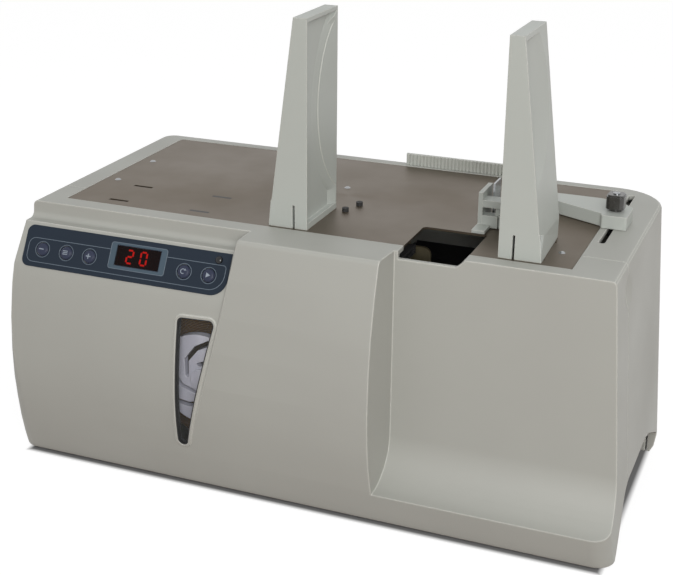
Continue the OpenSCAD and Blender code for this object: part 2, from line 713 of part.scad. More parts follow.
module drive_motor() color("#6E7173") union() {
    rod_y(feed_x, motor_z, gear_plate_y + 2, gear_plate_y + 50, 18.5);
    rod_y(feed_x, motor_z, gear_plate_y + 50, gear_plate_y + 54, 8);
}

// Chute from the feed rollers to the deck opening
chute_r = 25;
chute_t = 1.6;
chute_gap = 2.4;
chute_run = 28;
module chute_side(r0, r1) translate([feed_x - feed_r + chute_r, feed_z + feed_r]) polygon(concat(
    [for (k = [0 : 12]) let (a = 180 - 7.5 * k) [r1 * cos(a), r1 * sin(a)]],
    [[chute_run, r1], [chute_run, r0]],
    [for (k = [12 : -1 : 0]) let (a = 180 - 7.5 * k) [r0 * cos(a), r0 * sin(a)]]));
module tape_channel() color("#1F1E1C") union() {
    along_y(tape_y0 - 1, frame_y - 3) {
        chute_side(chute_r - chute_gap / 2 - chute_t, chute_r - chute_gap / 2);
        chute_side(chute_r + chute_gap / 2, chute_r + chute_gap / 2 + chute_t);
    }
    // closed edge of the chute, against the frame
    along_y(frame_y - 3, frame_y)
        chute_side(chute_r - chute_gap / 2 - chute_t, chute_r + chute_gap / 2 + chute_t);
}

// ---- Press head under the opening ----------------------------------------

press_z = 152;
module press_plate() color("#A7AAAC") difference() {
    box(66, 99, -66, -38, press_z, press_z + 6);
    box(88.9, 90.1, -67, -37, press_z + 2, press_z + 7);
}
module press_plunger() color("#8C8C8C") rod_z(82.5, -52, 100, press_z, 4);
module seal_heater() color("#B08D4A") box(70, 79, -64, -40, press_z + 6, press_z + 8);
module cutter_blade() color("#B8BBBD") box(89, 90, -64, -40, press_z + 2, press_z + 9);
module press_solenoid() color("#5A4636") difference() {
    union() {
        box(68, 97, -66, frame_y, 76, 128);
        rod_z(82.5, -52, 70, 80, 6);
    }
    rod_z(82.5, -52, 84, 130, 4.3);
}

// ---- Electrics -----------------------------------------------------------

module transformer() color("#5E5A55") union() {
    box(-168, -108, 22, 66, floor_z, 62);
    box(-158, -118, 14, 74, floor_z + 10, 54);
}
module main_board() color("#2F5D3A") union() {
    box(-172, -62, 84, 85.6, 72, 160);
    for (p = [[-160, 130], [-120, 96], [-90, 140]]) box(p[0], p[0] + 16, 76, 84, p[1], p[1] + 12);
}
module board_standoffs() color("#B59A55") for (x = [-166, -68], z = [78, 154])
    rod_y(x, z, 85.6, rear_y - wall, 2.5);
module mains_inlet() color("#1C1C1C") difference() {
    union() {
        box(inlet_x - 13.5, inlet_x + 13.5, 86, rear_y - 0.4, inlet_z - 10, inlet_z + 10);
        box(inlet_x - 16, inlet_x + 16, rear_y - wall - 2, rear_y - wall, inlet_z - 13, inlet_z + 13);
    }
    along_y(92, rear_y + 1) translate([inlet_x, inlet_z])
        polygon([[-11, -6.5], [11, -6.5], [11, 2.5], [7, 6.5], [-7, 6.5], [-11, 2.5]]);
}
module switch_frame() color("#1C1C1C") difference() {
    union() {
        box(switch_x - 10.5, switch_x + 10.5, 92, rear_y - 0.4, inlet_z - 7.5, inlet_z + 7.5);
        box(switch_x - 12.5, switch_x + 12.5, rear_y - wall - 2, rear_y - wall, inlet_z - 9.5, inlet_z + 9.5);
    }
    box(switch_x - 8.8, switch_x + 8.8, 96, rear_y + 1, inlet_z - 5.6, inlet_z + 5.6);
}
rocker_lean = 7;
module power_switch() color("#C03A2E") intersection() {
    translate([switch_x, 102, inlet_z]) rotate([0, 0, rocker_lean]) rocker_body();
    box(switch_x - 8.4, switch_x + 8.4, 96.4, rear_y - 0.1, inlet_z - 5.2, inlet_z + 5.2);
}
module rocker_body() translate([0, 0, -5.2]) {
    linear_extrude(10.4) polygon([[-7.6, -2.5], [7.6, -2.5], [7.6, 4.6], [0, 3.2], [-7.6, 4.6]]);
    cylinder(r = 3.4, h = 10.4, $fn = 48);
}

rear_housing();
front_cover();
deck_plate();
deck_rivets();
slot_plugs();
rear_fence();
base_plate();
rubber_feet();
base_screws();
hinge_pins();
frame_plate();
frame_spacers();
gear_plate();
panel_overlay();
display_window();
display_module();
panel_board();
reel_window();
key_minus();
key_mode();
key_plus();
key_auto();
key_start();
left_guide();
right_guide();
stop_arm();
arm_screw();
arm_nut();
arm_knob();
arm_head();
side_stop();
stop_blade();
deck_bumpers();
reel_spindle();
tape_reel();
tape_roll();
reel_handwheel();
tape_channel();
feed_roller();
feed_shaft();
drive_gear();
pinch_roller();
pinch_axle();
motor_gear();
drive_motor();
press_plate();
press_plunger();
seal_heater();
cutter_blade();
press_solenoid();
transformer();
main_board();
board_standoffs();
mains_inlet();
switch_frame();
power_switch();
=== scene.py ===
"""Banknote strapping machine: finishes, fine detail, studio and camera over its fixed CAD frame."""
import math

import bmesh
import bpy
from bpy.props import FloatProperty, FloatVectorProperty, IntProperty, PointerProperty, StringProperty
from mathutils import Matrix, Vector, geometry


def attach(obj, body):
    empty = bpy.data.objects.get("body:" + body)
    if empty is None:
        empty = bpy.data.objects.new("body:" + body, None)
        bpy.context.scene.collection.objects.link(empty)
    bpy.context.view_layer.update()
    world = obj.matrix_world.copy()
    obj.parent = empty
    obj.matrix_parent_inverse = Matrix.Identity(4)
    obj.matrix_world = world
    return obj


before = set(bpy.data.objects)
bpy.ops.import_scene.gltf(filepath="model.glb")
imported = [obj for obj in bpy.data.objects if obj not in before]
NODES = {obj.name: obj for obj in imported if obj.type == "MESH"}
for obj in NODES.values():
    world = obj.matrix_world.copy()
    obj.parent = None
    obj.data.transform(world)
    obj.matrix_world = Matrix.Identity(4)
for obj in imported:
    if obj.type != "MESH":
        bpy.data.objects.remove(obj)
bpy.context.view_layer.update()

bl_info = {
    "name": "Strapping machine finisher",
    "version": (1, 0, 0),
    "blender": (4, 5, 0),
    "location": "View3D > Sidebar > Strapper",
    "description": "Dresses the CAD frame of a table-top banknote strapping machine",
    "category": "Object",
}

MM = 0.001

# ---- The frame's own places, in millimetres ---------------------------------

PANEL_LEAN = 29.6  # degrees the key panel leans back
PANEL_FOOT = (0.0, -99.607, 142.0)
FILM_TOP = 0.5  # thickness of the panel film
KEY_TOP = 1.0  # height of a key's cap over the panel
# On the panel, U runs to the right and V up the slope.
KEY_V = 12.1
KEYS = {"minus": -177.0, "mode": -159.0, "plus": -141.6, "auto": -72.8, "start": -55.4}
DISPLAY_U = (-122.6, -91.0)
DISPLAY_V = (9.5, 22.4)
FRAME_BOX = (-127.0, 7.1, -86.5, 24.2)  # lowest U and V of the display's frame, and highest
FRAME_CORNER = 1.6
LAMP = (-50.4, 22.7)
REEL = (-64.0, 78.0)  # X and Z of the reel's axis
# X, Z and radius of the window's four corners
WINDOW_CIRCLES = ((-70.1, 122.0, 3.6), (-51.4, 122.8, 3.6), (-71.6, 79.0, 2.8), (-72.4, 38.8, 3.8))
BARREL_FRONT = (-108.5, 82.0)  # Y and Z of the foremost line of the front
BARREL_RADII = (363.0, 210.0)  # over and under that line
FALL_FOOT = 45.0  # Z from which the left face falls back behind the barrel
FACE_FALL = 3.9  # how far it has fallen back at the foot of the key panel
FALL_POWER = 1.5
REAR_WALL = 105.5  # Y of the rear wall's inner face
BOARD_FRONT = 84.0  # Y of the main board's front face
PHOTO_WIDTH = 673  # pixels that the focal length is counted in
IN_MM = Matrix.Scale(MM, 4)
PANEL = (
    Matrix.Translation(Vector(PANEL_FOOT) * MM)
    @ Matrix.Rotation(math.radians(90 - PANEL_LEAN), 4, "X")
    @ IN_MM
)


# ---- Small helpers ----------------------------------------------------------


def linear(hex_colour, alpha=1.0):
    """An sRGB hex colour as linear RGBA."""
    out = []
    for i in (1, 3, 5):
        c = int(hex_colour[i : i + 2], 16) / 255
        out.append(c / 12.92 if c <= 0.04045 else ((c + 0.055) / 1.055) ** 2.4)
    return (*out, alpha)


def feed(tree, node, inputs):
    """Gives a node its inputs, which are values, sockets or other nodes.

    A node given as an input stands for its first output in use.
    """
    for key, value in inputs.items():
        if isinstance(value, bpy.types.Node):
            value = next(output for output in value.outputs if output.enabled)
        if isinstance(value, bpy.types.NodeSocket):
            tree.links.new(value, node.inputs[key])
        else:
            node.inputs[key].default_value = value


def add(tree, kind, inputs=None, **settings):
    """Adds a node with its settings and inputs."""
    node = tree.nodes.new(kind)
    for key, value in settings.items():
        setattr(node, key, value)
    feed(tree, node, inputs or {})
    return node


def finish_object(name, mesh, material, body):
    """Links a mesh as a finished piece that rides on a body."""
    obj = bpy.data.objects.new(name, mesh)
    bpy.context.scene.collection.objects.link(obj)
    if material:
        mesh.materials.append(material)
    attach(obj, body)


def mesh_from(name, bm, place, smooth_angle=35.0):
    """Turns a bmesh into a mesh, placed by a matrix, with smooth shading up to an angle."""
    bmesh.ops.remove_doubles(bm, verts=bm.verts, dist=1e-6)
    bmesh.ops.recalc_face_normals(bm, faces=bm.faces)
    mesh = bpy.data.meshes.new(name)
    bm.transform(place)
    bm.to_mesh(mesh)
    bm.free()
    mesh.shade_smooth()
    mesh.set_sharp_from_angle(angle=math.radians(smooth_angle))
    return mesh


def piece(name, bm, place, material, body):
    """Makes a finished piece of a bmesh, placed by a matrix."""
    finish_object(name, mesh_from(name, bm, place), material, body)


def prism(bm, outline, z0, z1):
    """Adds a closed prism over a flat outline."""
    low = [bm.verts.new((x, y, z0)) for x, y in outline]
    high = [bm.verts.new((x, y, z1)) for x, y in outline]
    count = len(outline)
    bm.faces.new(low[::-1])
    bm.faces.new(high)
    for i in range(count):
        j = (i + 1) % count
        bm.faces.new((low[i], low[j], high[j], high[i]))


def lathe(bm, profile, turns=48, place=Matrix()):
    """Adds a profile of (radius, height) turned round Z, closed at both ends."""
    angles = [2 * math.pi * k / turns for k in range(turns)]
    rings = []
    for radius, height in profile:
        ring = [(radius * math.cos(a), radius * math.sin(a)) for a in angles] if radius else [(0, 0)]
        rings.append([bm.verts.new(place @ Vector((x, y, height))) for x, y in ring])
    for low, high in zip(rings, rings[1:]):
        for k in range(turns):
            m = (k + 1) % turns
            corners = (low[k % len(low)], low[m % len(low)], high[m % len(high)], high[k % len(high)])
            face = list(dict.fromkeys(corners))
            if len(face) > 2:
                bm.faces.new(face)
    for ring, flip in ((rings[0], True), (rings[-1], False)):
        if len(ring) > 1:
            bm.faces.new(ring[::-1] if flip else ring)


def dome(radius, foot, rise, steps):
    """Profile of a dome, from one step above its foot to its top, for the lathe."""
    angles = (math.pi / 2 * i / steps for i in range(1, steps))
    return [(radius * math.cos(a), foot + rise * math.sin(a)) for a in angles] + [(0.0, foot + rise)]


def arc(cx, cy, r, a0, a1, steps=8):
    """Points of an arc, in degrees."""
    angles = (math.radians(a0 + (a1 - a0) * i / steps) for i in range(steps + 1))
    return [(cx + r * math.cos(a), cy + r * math.sin(a)) for a in angles]


def rounded_box(x0, y0, x1, y1, r, steps=6):
    """Outline of a rectangle with round corners, anticlockwise."""
    return (
        arc(x0 + r, y0 + r, r, 180, 270, steps)
        + arc(x1 - r, y0 + r, r, 270, 360, steps)
        + arc(x1 - r, y1 - r, r, 0, 90, steps)
        + arc(x0 + r, y1 - r, r, 90, 180, steps)
    )


def face_y(z):
    """Y of the casing's left face at a height."""
    radius = BARREL_RADII[0] if z > BARREL_FRONT[1] else BARREL_RADII[1]
    barrel = BARREL_FRONT[0] + radius - math.sqrt(radius**2 - (z - BARREL_FRONT[1]) ** 2)
    climb = max(0.0, z - FALL_FOOT) / (PANEL_FOOT[2] - FALL_FOOT)
    return barrel + FACE_FALL * climb**FALL_POWER


# ---- Finishes ---------------------------------------------------------------


def finish(name, colour, roughness, metallic=0.0, second=None, mottle=40.0, grain=0.8,
           depth=0.02, stretch=(1, 1, 1), soft_edge=0.0, edge_highlight_colour=None, **shader):
    """A material with mottled colour, uneven gloss and a fine grain.

    mottle and grain are sizes in millimetres, depth is the grain's height in millimetres,
    stretch draws the grain out along an axis, and soft_edge is the radius in millimetres by
    which sharp edges catch the light as if they were rounded. Where an edge colour is given,
    it is painted along those edges as a highlight.
    """
    mottle_range, uneven = (0.3, 0.7), 0.05
    # cosines of the lean between the bevelled and the true normal where the painted edge
    # highlight starts and where it is full, and the highlight's greatest share of the colour
    highlight_starts, highlight_full, highlight_most = 0.995, 0.93, 0.8
    material = bpy.data.materials.new(name)
    material.use_nodes = True
    tree = material.node_tree
    place = add(tree, "ShaderNodeTexCoord").outputs["Object"]
    blotch = add(
        tree, "ShaderNodeTexNoise",
        {"Vector": place, "Scale": 1000 / mottle, "Detail": 3.0, "Roughness": 0.55},
    )
    tone = add(
        tree, "ShaderNodeMix",
        {"Factor": blotch, 6: linear(colour), 7: linear(second or colour)}, data_type="RGBA",
    )
    gloss = add(
        tree, "ShaderNodeMapRange",
        {"Value": blotch, "From Min": mottle_range[0], "From Max": mottle_range[1],
         "To Min": max(0.02, roughness - uneven), "To Max": min(1.0, roughness + uneven)},
    )
    stretched = add(tree, "ShaderNodeMapping", {"Vector": place, "Scale": stretch}, vector_type="POINT")
    fine = add(tree, "ShaderNodeTexNoise", {"Vector": stretched, "Scale": 1000 / grain, "Detail": 2.0})
    bump = add(tree, "ShaderNodeBump", {"Strength": 1.0, "Distance": depth * MM, "Height": fine})
    if soft_edge:
        bevel = add(tree, "ShaderNodeBevel", {"Radius": soft_edge * MM}, samples=4)
        feed(tree, bump, {"Normal": bevel})
        # painted highlight: a paler colour mixed in along sharp edges, where the bevelled normal leans from
        # the true one
        if edge_highlight_colour:
            true_normal = add(tree, "ShaderNodeNewGeometry").outputs["Normal"]
            lean = add(tree, "ShaderNodeVectorMath", {0: bevel, 1: true_normal}, operation="DOT_PRODUCT")
            painted_highlight = add(
                tree, "ShaderNodeMapRange",
                {"Value": lean, "From Min": highlight_starts, "From Max": highlight_full,
                 "To Min": 0.0, "To Max": highlight_most},
            )
            tone = add(
                tree, "ShaderNodeMix",
                {"Factor": painted_highlight, 6: tone, 7: linear(edge_highlight_colour)}, data_type="RGBA",
            )
    surface = tree.nodes["Principled BSDF"]
    feed(tree, surface, {"Base Color": tone, "Roughness": gloss, "Normal": bump, "Metallic": metallic})
    feed(tree, surface, {key.replace("_", " "): value for key, value in shader.items()})
    return material


def casing_abs(settings):
    # ABS from a spark-eroded mould: matt, with an even fine grain and a pale painted highlight along its
    # edges.
    # The real grain of about 0.2 mm wouldn't show, so it is drawn at 0.7 mm.
    return finish("ABS moulded casing", settings.casing_hex, 0.5, second=settings.casing_second_hex,
                  mottle=90, grain=0.7, depth=0.02, soft_edge=settings.soft_edge,
                  edge_highlight_colour=settings.edge_highlight_hex, IOR=1.53)


def guide_abs(settings, name="ABS moulded guide", colour=None):
    # The same ABS in a slightly greener batch, smoother than the casing, with the same pale painted
    # highlight along its edges.
    return finish(name, colour or settings.guide_hex, 0.42, second=settings.guide_second_hex,
                  mottle=60, grain=0.9, depth=0.012, soft_edge=0.6,
                  edge_highlight_colour=settings.edge_highlight_hex, IOR=1.53)


def deck_stainless(settings):
    # Stainless sheet with a dull directional grind along X: long fine lines, soft reflections.
    return finish("Stainless ground deck", settings.deck_hex, 0.42, metallic=0.75,
                  second=settings.deck_second_hex, mottle=55, grain=1.2, depth=0.008,
                  stretch=(0.06, 1.6, 1), Anisotropic=0.4)


def zinc_plate():
    # Zinc on pressed sheet: a warm grey metal with faint cloudy patches.
    return finish("Zinc plated sheet", "#948A6E", 0.38, metallic=0.9, second="#A0967C",
                  mottle=9, grain=1.5, depth=0.01)


def bright_steel():
    # Turned and ground steel: fine lines round the bar, small sharp glints.
    return finish("Steel turned bright", "#A9ABAD", 0.24, metallic=1.0, second="#989A9C",
                  mottle=5, grain=0.5, depth=0.006, stretch=(1, 4, 1))


def panel_polycarbonate(settings):
    # Polycarbonate film, printed on its back: velvet front, faint cloudiness.
    return finish("Polycarbonate panel film", settings.film_hex, 0.6, second=settings.film_second_hex,
                  mottle=22, grain=0.45, depth=0.012, Specular_IOR_Level=0.12)


def key_dome_film(settings):
    # The film's embossed key domes: a shade darker and bluer, polished a little by fingers.
    return finish("Polycarbonate key dome", settings.key_hex, 0.42, second="#272D42",
                  mottle=7, grain=0.6, depth=0.006, Specular_IOR_Level=0.3)


def smoked_acrylic():
    # Dark red acrylic filter: nearly black until a lit bar shines through.
    return finish("Acrylic smoked red filter", "#0E0404", 0.12, second="#150606", mottle=20,
                  grain=2.0, depth=0.002, IOR=1.49, Alpha=0.86, Specular_IOR_Level=0.1)


def black_moulding():
    # Glass-filled nylon in black: matt with a slight sheen.
    return finish("Nylon black moulding", "#1D1D1E", 0.5, second="#262627", mottle=14,
                  grain=0.6, depth=0.015, IOR=1.53)


def circuit_laminate():
    # Green epoxy laminate: pale copper tracks show through the lacquer.
    base, second, copper = "#24502F", "#2A5B36", "#7FA06B"
    row, gap = 9.0, 0.035  # millimetres, and a share of a row
    material = finish("Epoxy circuit laminate", base, 0.3, mottle=12, grain=0.5, depth=0.006, IOR=1.5)
    tree = material.node_tree
    place = add(tree, "ShaderNodeTexCoord").outputs["Object"]
    upright = add(tree, "ShaderNodeMapping", {"Vector": place, "Rotation": (math.pi / 2, 0, 0)})
    tracks = add(
        tree, "ShaderNodeTexBrick",
        {"Vector": upright, "Scale": 1000 / row, "Mortar Size": gap,
         "Color1": linear(base), "Color2": linear(second), "Mortar": linear(copper)},
    )
    feed(tree, tree.nodes["Principled BSDF"], {"Base Color": tracks})
    return material


def window_acrylic():
    # Clear cast acrylic: almost unseen.
    return finish("Acrylic clear window", "#B9C0C0", 0.06, second="#C6CCCC", mottle=30,
                  grain=3.0, depth=0.001, IOR=1.49, Alpha=0.03)


def knob_phenolic():
    # Dark phenolic moulding: glossy with a brownish depth.
    return finish("Phenolic knob", "#2A2926", 0.25, second="#3A3936", mottle=5, grain=0.8,
                  depth=0.01, soft_edge=0.5, IOR=1.55, Coat_Weight=0.3)


def foot_rubber():
    # Moulded rubber: dull black with a dusty bloom.
    return finish("Rubber black foot", "#232323", 0.75, second="#303030", mottle=6, grain=0.7,
                  depth=0.03)


def roller_rubber():
    # Ground red-brown polyurethane: fine rings left by the grinding wheel.
    return finish("Polyurethane ground roller", "#7A3B2E", 0.55, second="#6B3327", mottle=8,
                  grain=0.6, depth=0.02, stretch=(1, 5, 1))


def tape_paper():
    # Brown kraft paper wound tight: its side shows the edges of the turns as fine rings.
    # The 0.1 mm paper wouldn't show, so a ring is drawn every 1.6 mm.
    kraft, between, pitch = "#75501A", "#4E3408", 1.6
    material = finish("Paper kraft tape", kraft, 0.8, mottle=10, grain=0.5, depth=0.02)
    tree = material.node_tree
    place = add(tree, "ShaderNodeTexCoord").outputs["Object"]
    centred = add(
        tree, "ShaderNodeMapping",
        {"Vector": place, "Location": (-REEL[0] * MM, 0, -REEL[1] * MM), "Scale": (1, 0, 1)},
    )
    # the wave texture's own length of a ring is pi / 10 at a scale of 1
    rings = add(
        tree, "ShaderNodeTexWave",
        {"Vector": centred, "Scale": 1000 / pitch * math.pi / 10, "Distortion": 0.4},
        wave_type="RINGS", rings_direction="SPHERICAL",
    )
    tone = add(
        tree, "ShaderNodeMix",
        {"Factor": rings.outputs["Fac"], 6: linear(kraft), 7: linear(between)}, data_type="RGBA",
    )
    feed(tree, tree.nodes["Principled BSDF"], {"Base Color": tone})
    return material


def reel_styrene():
    # Natural polystyrene: pale bluish grey, smooth, a little light in its depth, with a paler painted
    # highlight along its edges.
    return finish("Polystyrene hand wheel", "#BFC0CE", 0.2, second="#CDCDD8", mottle=14, grain=1.5,
                  depth=0.01, soft_edge=0.8, edge_highlight_colour="#DADAE0", IOR=1.59, Coat_Weight=0.4)


def reel_painted_shade_styrene():
    # Polystyrene of the reel proper, dark brown as painted shade so that the hand wheel's slots show dark:
    # half gloss.
    return finish("Polystyrene reel, painted shade dark", "#4A3312", 0.35, second="#553C18", mottle=14, grain=1.5,
                  depth=0.01, IOR=1.59)


def printing_ink(name, colour, second):
    # Silk-screened ink: thin, even and half matt.
    return finish(name, colour, 0.45, second=second, mottle=5, grain=0.4, depth=0.003)


def capacitor_sleeve():
    # Shrunk PVC sleeve: deep blue, glossy.
    return finish("PVC shrunk sleeve", "#1F2C52", 0.25, second="#26345C", mottle=4, grain=0.8,
                  depth=0.004, IOR=1.53)


def gear_acetal():
    # Natural acetal gears: waxy cream.
    return finish("Acetal gear", "#C9BE97", 0.38, second="#D3C9A6", mottle=8, grain=0.7,
                  depth=0.01, IOR=1.48)


def turned_brass():
    # Turned brass: warm metal, fine lathe lines.
    return finish("Brass turned", "#B5944D", 0.28, metallic=1.0, second="#A5823C", mottle=4,
                  grain=0.4, depth=0.008, stretch=(1, 4, 1))


def motor_can():
    # Drawn steel can, dull nickel.
    return finish("Steel motor can", "#777A7C", 0.34, metallic=0.95, second="#858889", mottle=10,
                  grain=0.8, depth=0.008, stretch=(1, 3, 1))


def coil_tape():
    # Varnished winding under polyester tape: amber brown, half gloss, with the turns telling.
    return finish("Polyester coil tape", "#4E3A2A", 0.35, second="#5E4832", mottle=9, grain=1.1,
                  depth=0.05, stretch=(0.2, 0.2, 3), Coat_Weight=0.3)


def rocker_nylon():
    # Red nylon rocker: smooth, half gloss.
    return finish("Nylon red rocker", "#A8261F", 0.3, second="#B3302A", mottle=8, grain=0.8,
                  depth=0.006, soft_edge=0.4, IOR=1.53)


# ---- Geometry trees ---------------------------------------------------------


def node_tree(name, inputs, output, fill):
    """The geometry tree of a name, made on its first use.

    inputs gives each input's kind and default, and fill(tree, given) adds the nodes between
    and returns the result. A tree with a Surface input ends in real geometry that has it.
    """
    tree = bpy.data.node_groups.get(name)
    if tree:
        return tree
    tree = bpy.data.node_groups.new(name, "GeometryNodeTree")
    for label, (kind, default) in inputs.items():
        socket = tree.interface.new_socket(label, in_out="INPUT", socket_type="NodeSocket" + kind)
        if default is not None:
            socket.default_value = default
    tree.interface.new_socket(output, in_out="OUTPUT", socket_type="NodeSocketGeometry")
    given = add(tree, "NodeGroupInput").outputs
    shape = fill(tree, given)
    if "Surface" in inputs:
        real = add(tree, "GeometryNodeRealizeInstances", {"Geometry": shape})
        shape = add(tree, "GeometryNodeSetMaterial", {"Geometry": real, "Material": given["Surface"]})
    add(tree, "NodeGroupOutput", {output: shape})
    return tree


def weld_tree():
    """Merges a frame mesh's loose triangles and shades it smooth up to an angle."""

    def fill(tree, given):
        welded = add(
            tree, "GeometryNodeMergeByDistance",
            {"Geometry": given["Geometry"], "Distance": given["Weld distance"]},
        )
        faces = add(
            tree, "GeometryNodeSetShadeSmooth",
            {"Geometry": welded, "Shade Smooth": True}, domain="FACE",
        )
        bend = add(tree, "GeometryNodeInputMeshEdgeAngle")
        shallow = add(
            tree, "FunctionNodeCompare",
            {"A": bend, "B": given["Smooth angle"]}, data_type="FLOAT", operation="LESS_THAN",
        )
        return add(
            tree, "GeometryNodeSetShadeSmooth",
            {"Geometry": faces, "Shade Smooth": shallow}, domain="EDGE",
        )

    inputs = {
        "Geometry": ("Geometry", None),
        "Weld distance": ("Float", 0.00001),
        "Smooth angle": ("Float", math.radians(24)),
    }
    return node_tree("Weld and shade", inputs, "Geometry", fill)


def line_tree():
    """A flat strip that follows a path: printed lines on the key panel."""

    def fill(tree, given):
        curve = add(tree, "GeometryNodeMeshToCurve", {"Mesh": given["Path"]})
        upright = add(tree, "GeometryNodeSetCurveNormal", {"Curve": curve}, mode="Z_UP")
        section = add(
            tree, "GeometryNodeCurvePrimitiveQuadrilateral",
            {"Width": given["Line width"], "Height": given["Ink height"]},
        )
        return add(
            tree, "GeometryNodeCurveToMesh",
            {"Curve": upright, "Profile Curve": section, "Fill Caps": True},
        )

    inputs = {
        "Path": ("Geometry", None),
        "Line width": ("Float", 0.45),
        "Ink height": ("Float", 0.06),
        "Surface": ("Material", None),
    }
    return node_tree("Printed line", inputs, "Line", fill)


def winding_tree():
    """Rings of wire stacked along Z: the turns of a winding."""

    def fill(tree, given):
        step = add(tree, "ShaderNodeCombineXYZ", {"Z": given["Pitch"]})
        places = add(tree, "GeometryNodeMeshLine", {"Count": given["Turns"], "Offset": step}, mode="OFFSET")
        curve = add(tree, "GeometryNodeMeshToCurve", {"Mesh": given["Turn"]})
        section = add(
            tree, "GeometryNodeCurvePrimitiveCircle",
            {"Resolution": 8, "Radius": given["Wire radius"]},
        )
        wire = add(tree, "GeometryNodeCurveToMesh", {"Curve": curve, "Profile Curve": section})
        return add(tree, "GeometryNodeInstanceOnPoints", {"Points": places, "Instance": wire})

    inputs = {
        "Turn": ("Geometry", None),
        "Turns": ("Int", 20),
        "Pitch": ("Float", 1.0),
        "Wire radius": ("Float", 0.5),
        "Surface": ("Material", None),
    }
    return node_tree("Winding turns", inputs, "Winding", fill)


def row_tree():
    """Copies of a part in a row: slats, fins and pins."""

    def fill(tree, given):
        places = add(
            tree, "GeometryNodeMeshLine",
            {"Count": given["Count"], "Offset": given["Step"]}, mode="OFFSET",
        )
        return add(tree, "GeometryNodeInstanceOnPoints", {"Points": places, "Instance": given["Part"]})

    inputs = {
        "Part": ("Geometry", None),
        "Count": ("Int", 10),
        "Step": ("Vector", None),
        "Surface": ("Material", None),
    }
    return node_tree("Row of parts", inputs, "Row", fill)


def set_inputs(modifier, values):
    """Sets a node modifier's inputs, given by name, through their sockets' identifiers."""
    for item in modifier.node_group.interface.items_tree:
        if item.item_type == "SOCKET" and item.in_out == "INPUT" and item.name in values:
            modifier[item.identifier] = values[item.name]


def dress(names, material, smooth=True, angle=24.0):
    """Gives CAD nodes a material, and smooth shading over edges that bend less than an angle."""
    for name in names:
        obj = NODES[name]
        obj.data.materials.clear()
        obj.data.materials.append(material)
        if smooth:
            weld = obj.modifiers.new("Weld and shade", "NODES")
            weld.node_group = weld_tree()
            set_inputs(weld, {"Smooth angle": math.radians(angle)})
            weighted = obj.modifiers.new("Weighted normal", "WEIGHTED_NORMAL")
            weighted.keep_sharp = True


def paths(loops):
    """Lines through points, as (points, closed) pairs."""
    bm = bmesh.new()
    for points, closed in loops:
        verts = [bm.verts.new(p) for p in points]
        pairs = list(zip(verts, verts[1:])) + ([(verts[-1], verts[0])] if closed else [])
        for pair in pairs:
            bm.edges.new(pair)
    return bm


def grow(name, bm, tree, values, place, body):
    """Runs a node tree over a bmesh and makes a finished piece of the plain mesh it gives."""
    seed = bpy.data.meshes.new(name + " path")
    bm.to_mesh(seed)
    bm.free()
    obj = bpy.data.objects.new(name + " path", seed)
    bpy.context.scene.collection.objects.link(obj)
    modifier = obj.modifiers.new(tree.name, "NODES")
    modifier.node_group = tree
    set_inputs(modifier, values)
    obj.update_tag()
    depsgraph = bpy.context.evaluated_depsgraph_get()
    mesh = bpy.data.meshes.new_from_object(obj.evaluated_get(depsgraph))
    bpy.data.objects.remove(obj)
    bpy.data.meshes.remove(seed)
    if not mesh.polygons:
        raise RuntimeError(f"{name} came out empty")
    mesh.name = name
    mesh.transform(place)
    finish_object(name, mesh, None, body)


# ---- Settings ---------------------------------------------------------------


def colour_property(label, default):
    """A colour that a user may change."""
    return StringProperty(name=label, description=label + ", as an sRGB hex value", default=default)


class CasingSettings(bpy.types.PropertyGroup):
    """Colours of the mouldings and of the deck."""

    casing_hex: colour_property("Casing", "#ABACA5")
    casing_second_hex: colour_property("Casing, mottled", "#A5A59F")
    # pale colour painted along sharp edges as a highlight
    edge_highlight_hex: colour_property("Painted edge highlight", "#DEDED6")
    guide_hex: colour_property("Guides", "#B4B8B2")
    guide_second_hex: colour_property("Guides, mottled", "#AEB2AC")
    fence_hex: colour_property("Rear fence", "#C6C8C0")
    deck_hex: colour_property("Deck", "#6C6256")
    deck_second_hex: colour_property("Deck, mottled", "#645A4C")
    soft_edge: FloatProperty(
        name="Edge softness", description="Radius that edges seem rounded by, in mm", default=1.3, min=0
    )


class PanelSettings(bpy.types.PropertyGroup):
    """Colours and print of the key panel."""

    film_hex: colour_property("Film", "#252D38")
    film_second_hex: colour_property("Film, mottled", "#2B343F")
    frame_hex: colour_property("Display frame", "#45545F")
    key_hex: colour_property("Key domes", "#2B3247")
    ink_hex: colour_property("Printed lines", "#5C6975")
    icon_hex: colour_property("Key icons", "#8B95A1")
    lit_hex: colour_property("Lit bars", "#FF1E12")
    line_width: FloatProperty(
        name="Line width", description="Width of a printed line, in mm", default=0.42, min=0.1
    )
    number: IntProperty(
        name="Number shown", description="Plain number on the display", default=20, min=0, max=99
    )


class StudioSettings(bpy.types.PropertyGroup):
    """Camera and light."""

    camera_place: FloatVectorProperty(
        name="Camera", description="Place of the camera", default=(0.30639, -0.78156, 0.45219),
        unit="LENGTH", subtype="XYZ",
    )
    azimuth: FloatProperty(name="Azimuth", description="Camera's turn, in degrees", default=21.854)
    elevation: FloatProperty(
        name="Elevation", description="Camera's height angle, in degrees", default=21.654
    )
    roll: FloatProperty(name="Roll", description="Camera's roll, in degrees", default=0.4468)
    focal_px: FloatProperty(
        name="Focal length", description="In pixels of a frame 673 pixels wide", default=1328.85
    )
    ambient: FloatProperty(name="Ambient", description="Strength of the even light", default=0.55, min=0)
    key: FloatProperty(name="Key", description="Power of the key lamp, in watts", default=13.2, min=0)
    fill: FloatProperty(name="Fill", description="Power of the fill lamp, in watts", default=1.6, min=0)


# ---- Operators: one for each piece or group of pieces -------------------------


class STRAPPER_OT_casing(bpy.types.Operator):
    """Moulded casing: rear housing and front cover"""

    bl_idname = "strapper.casing"
    bl_label = "Casing"

    def execute(self, context):
        dress(["rear_housing", "front_cover"], casing_abs(context.scene.strapper_casing))
        return {"FINISHED"}


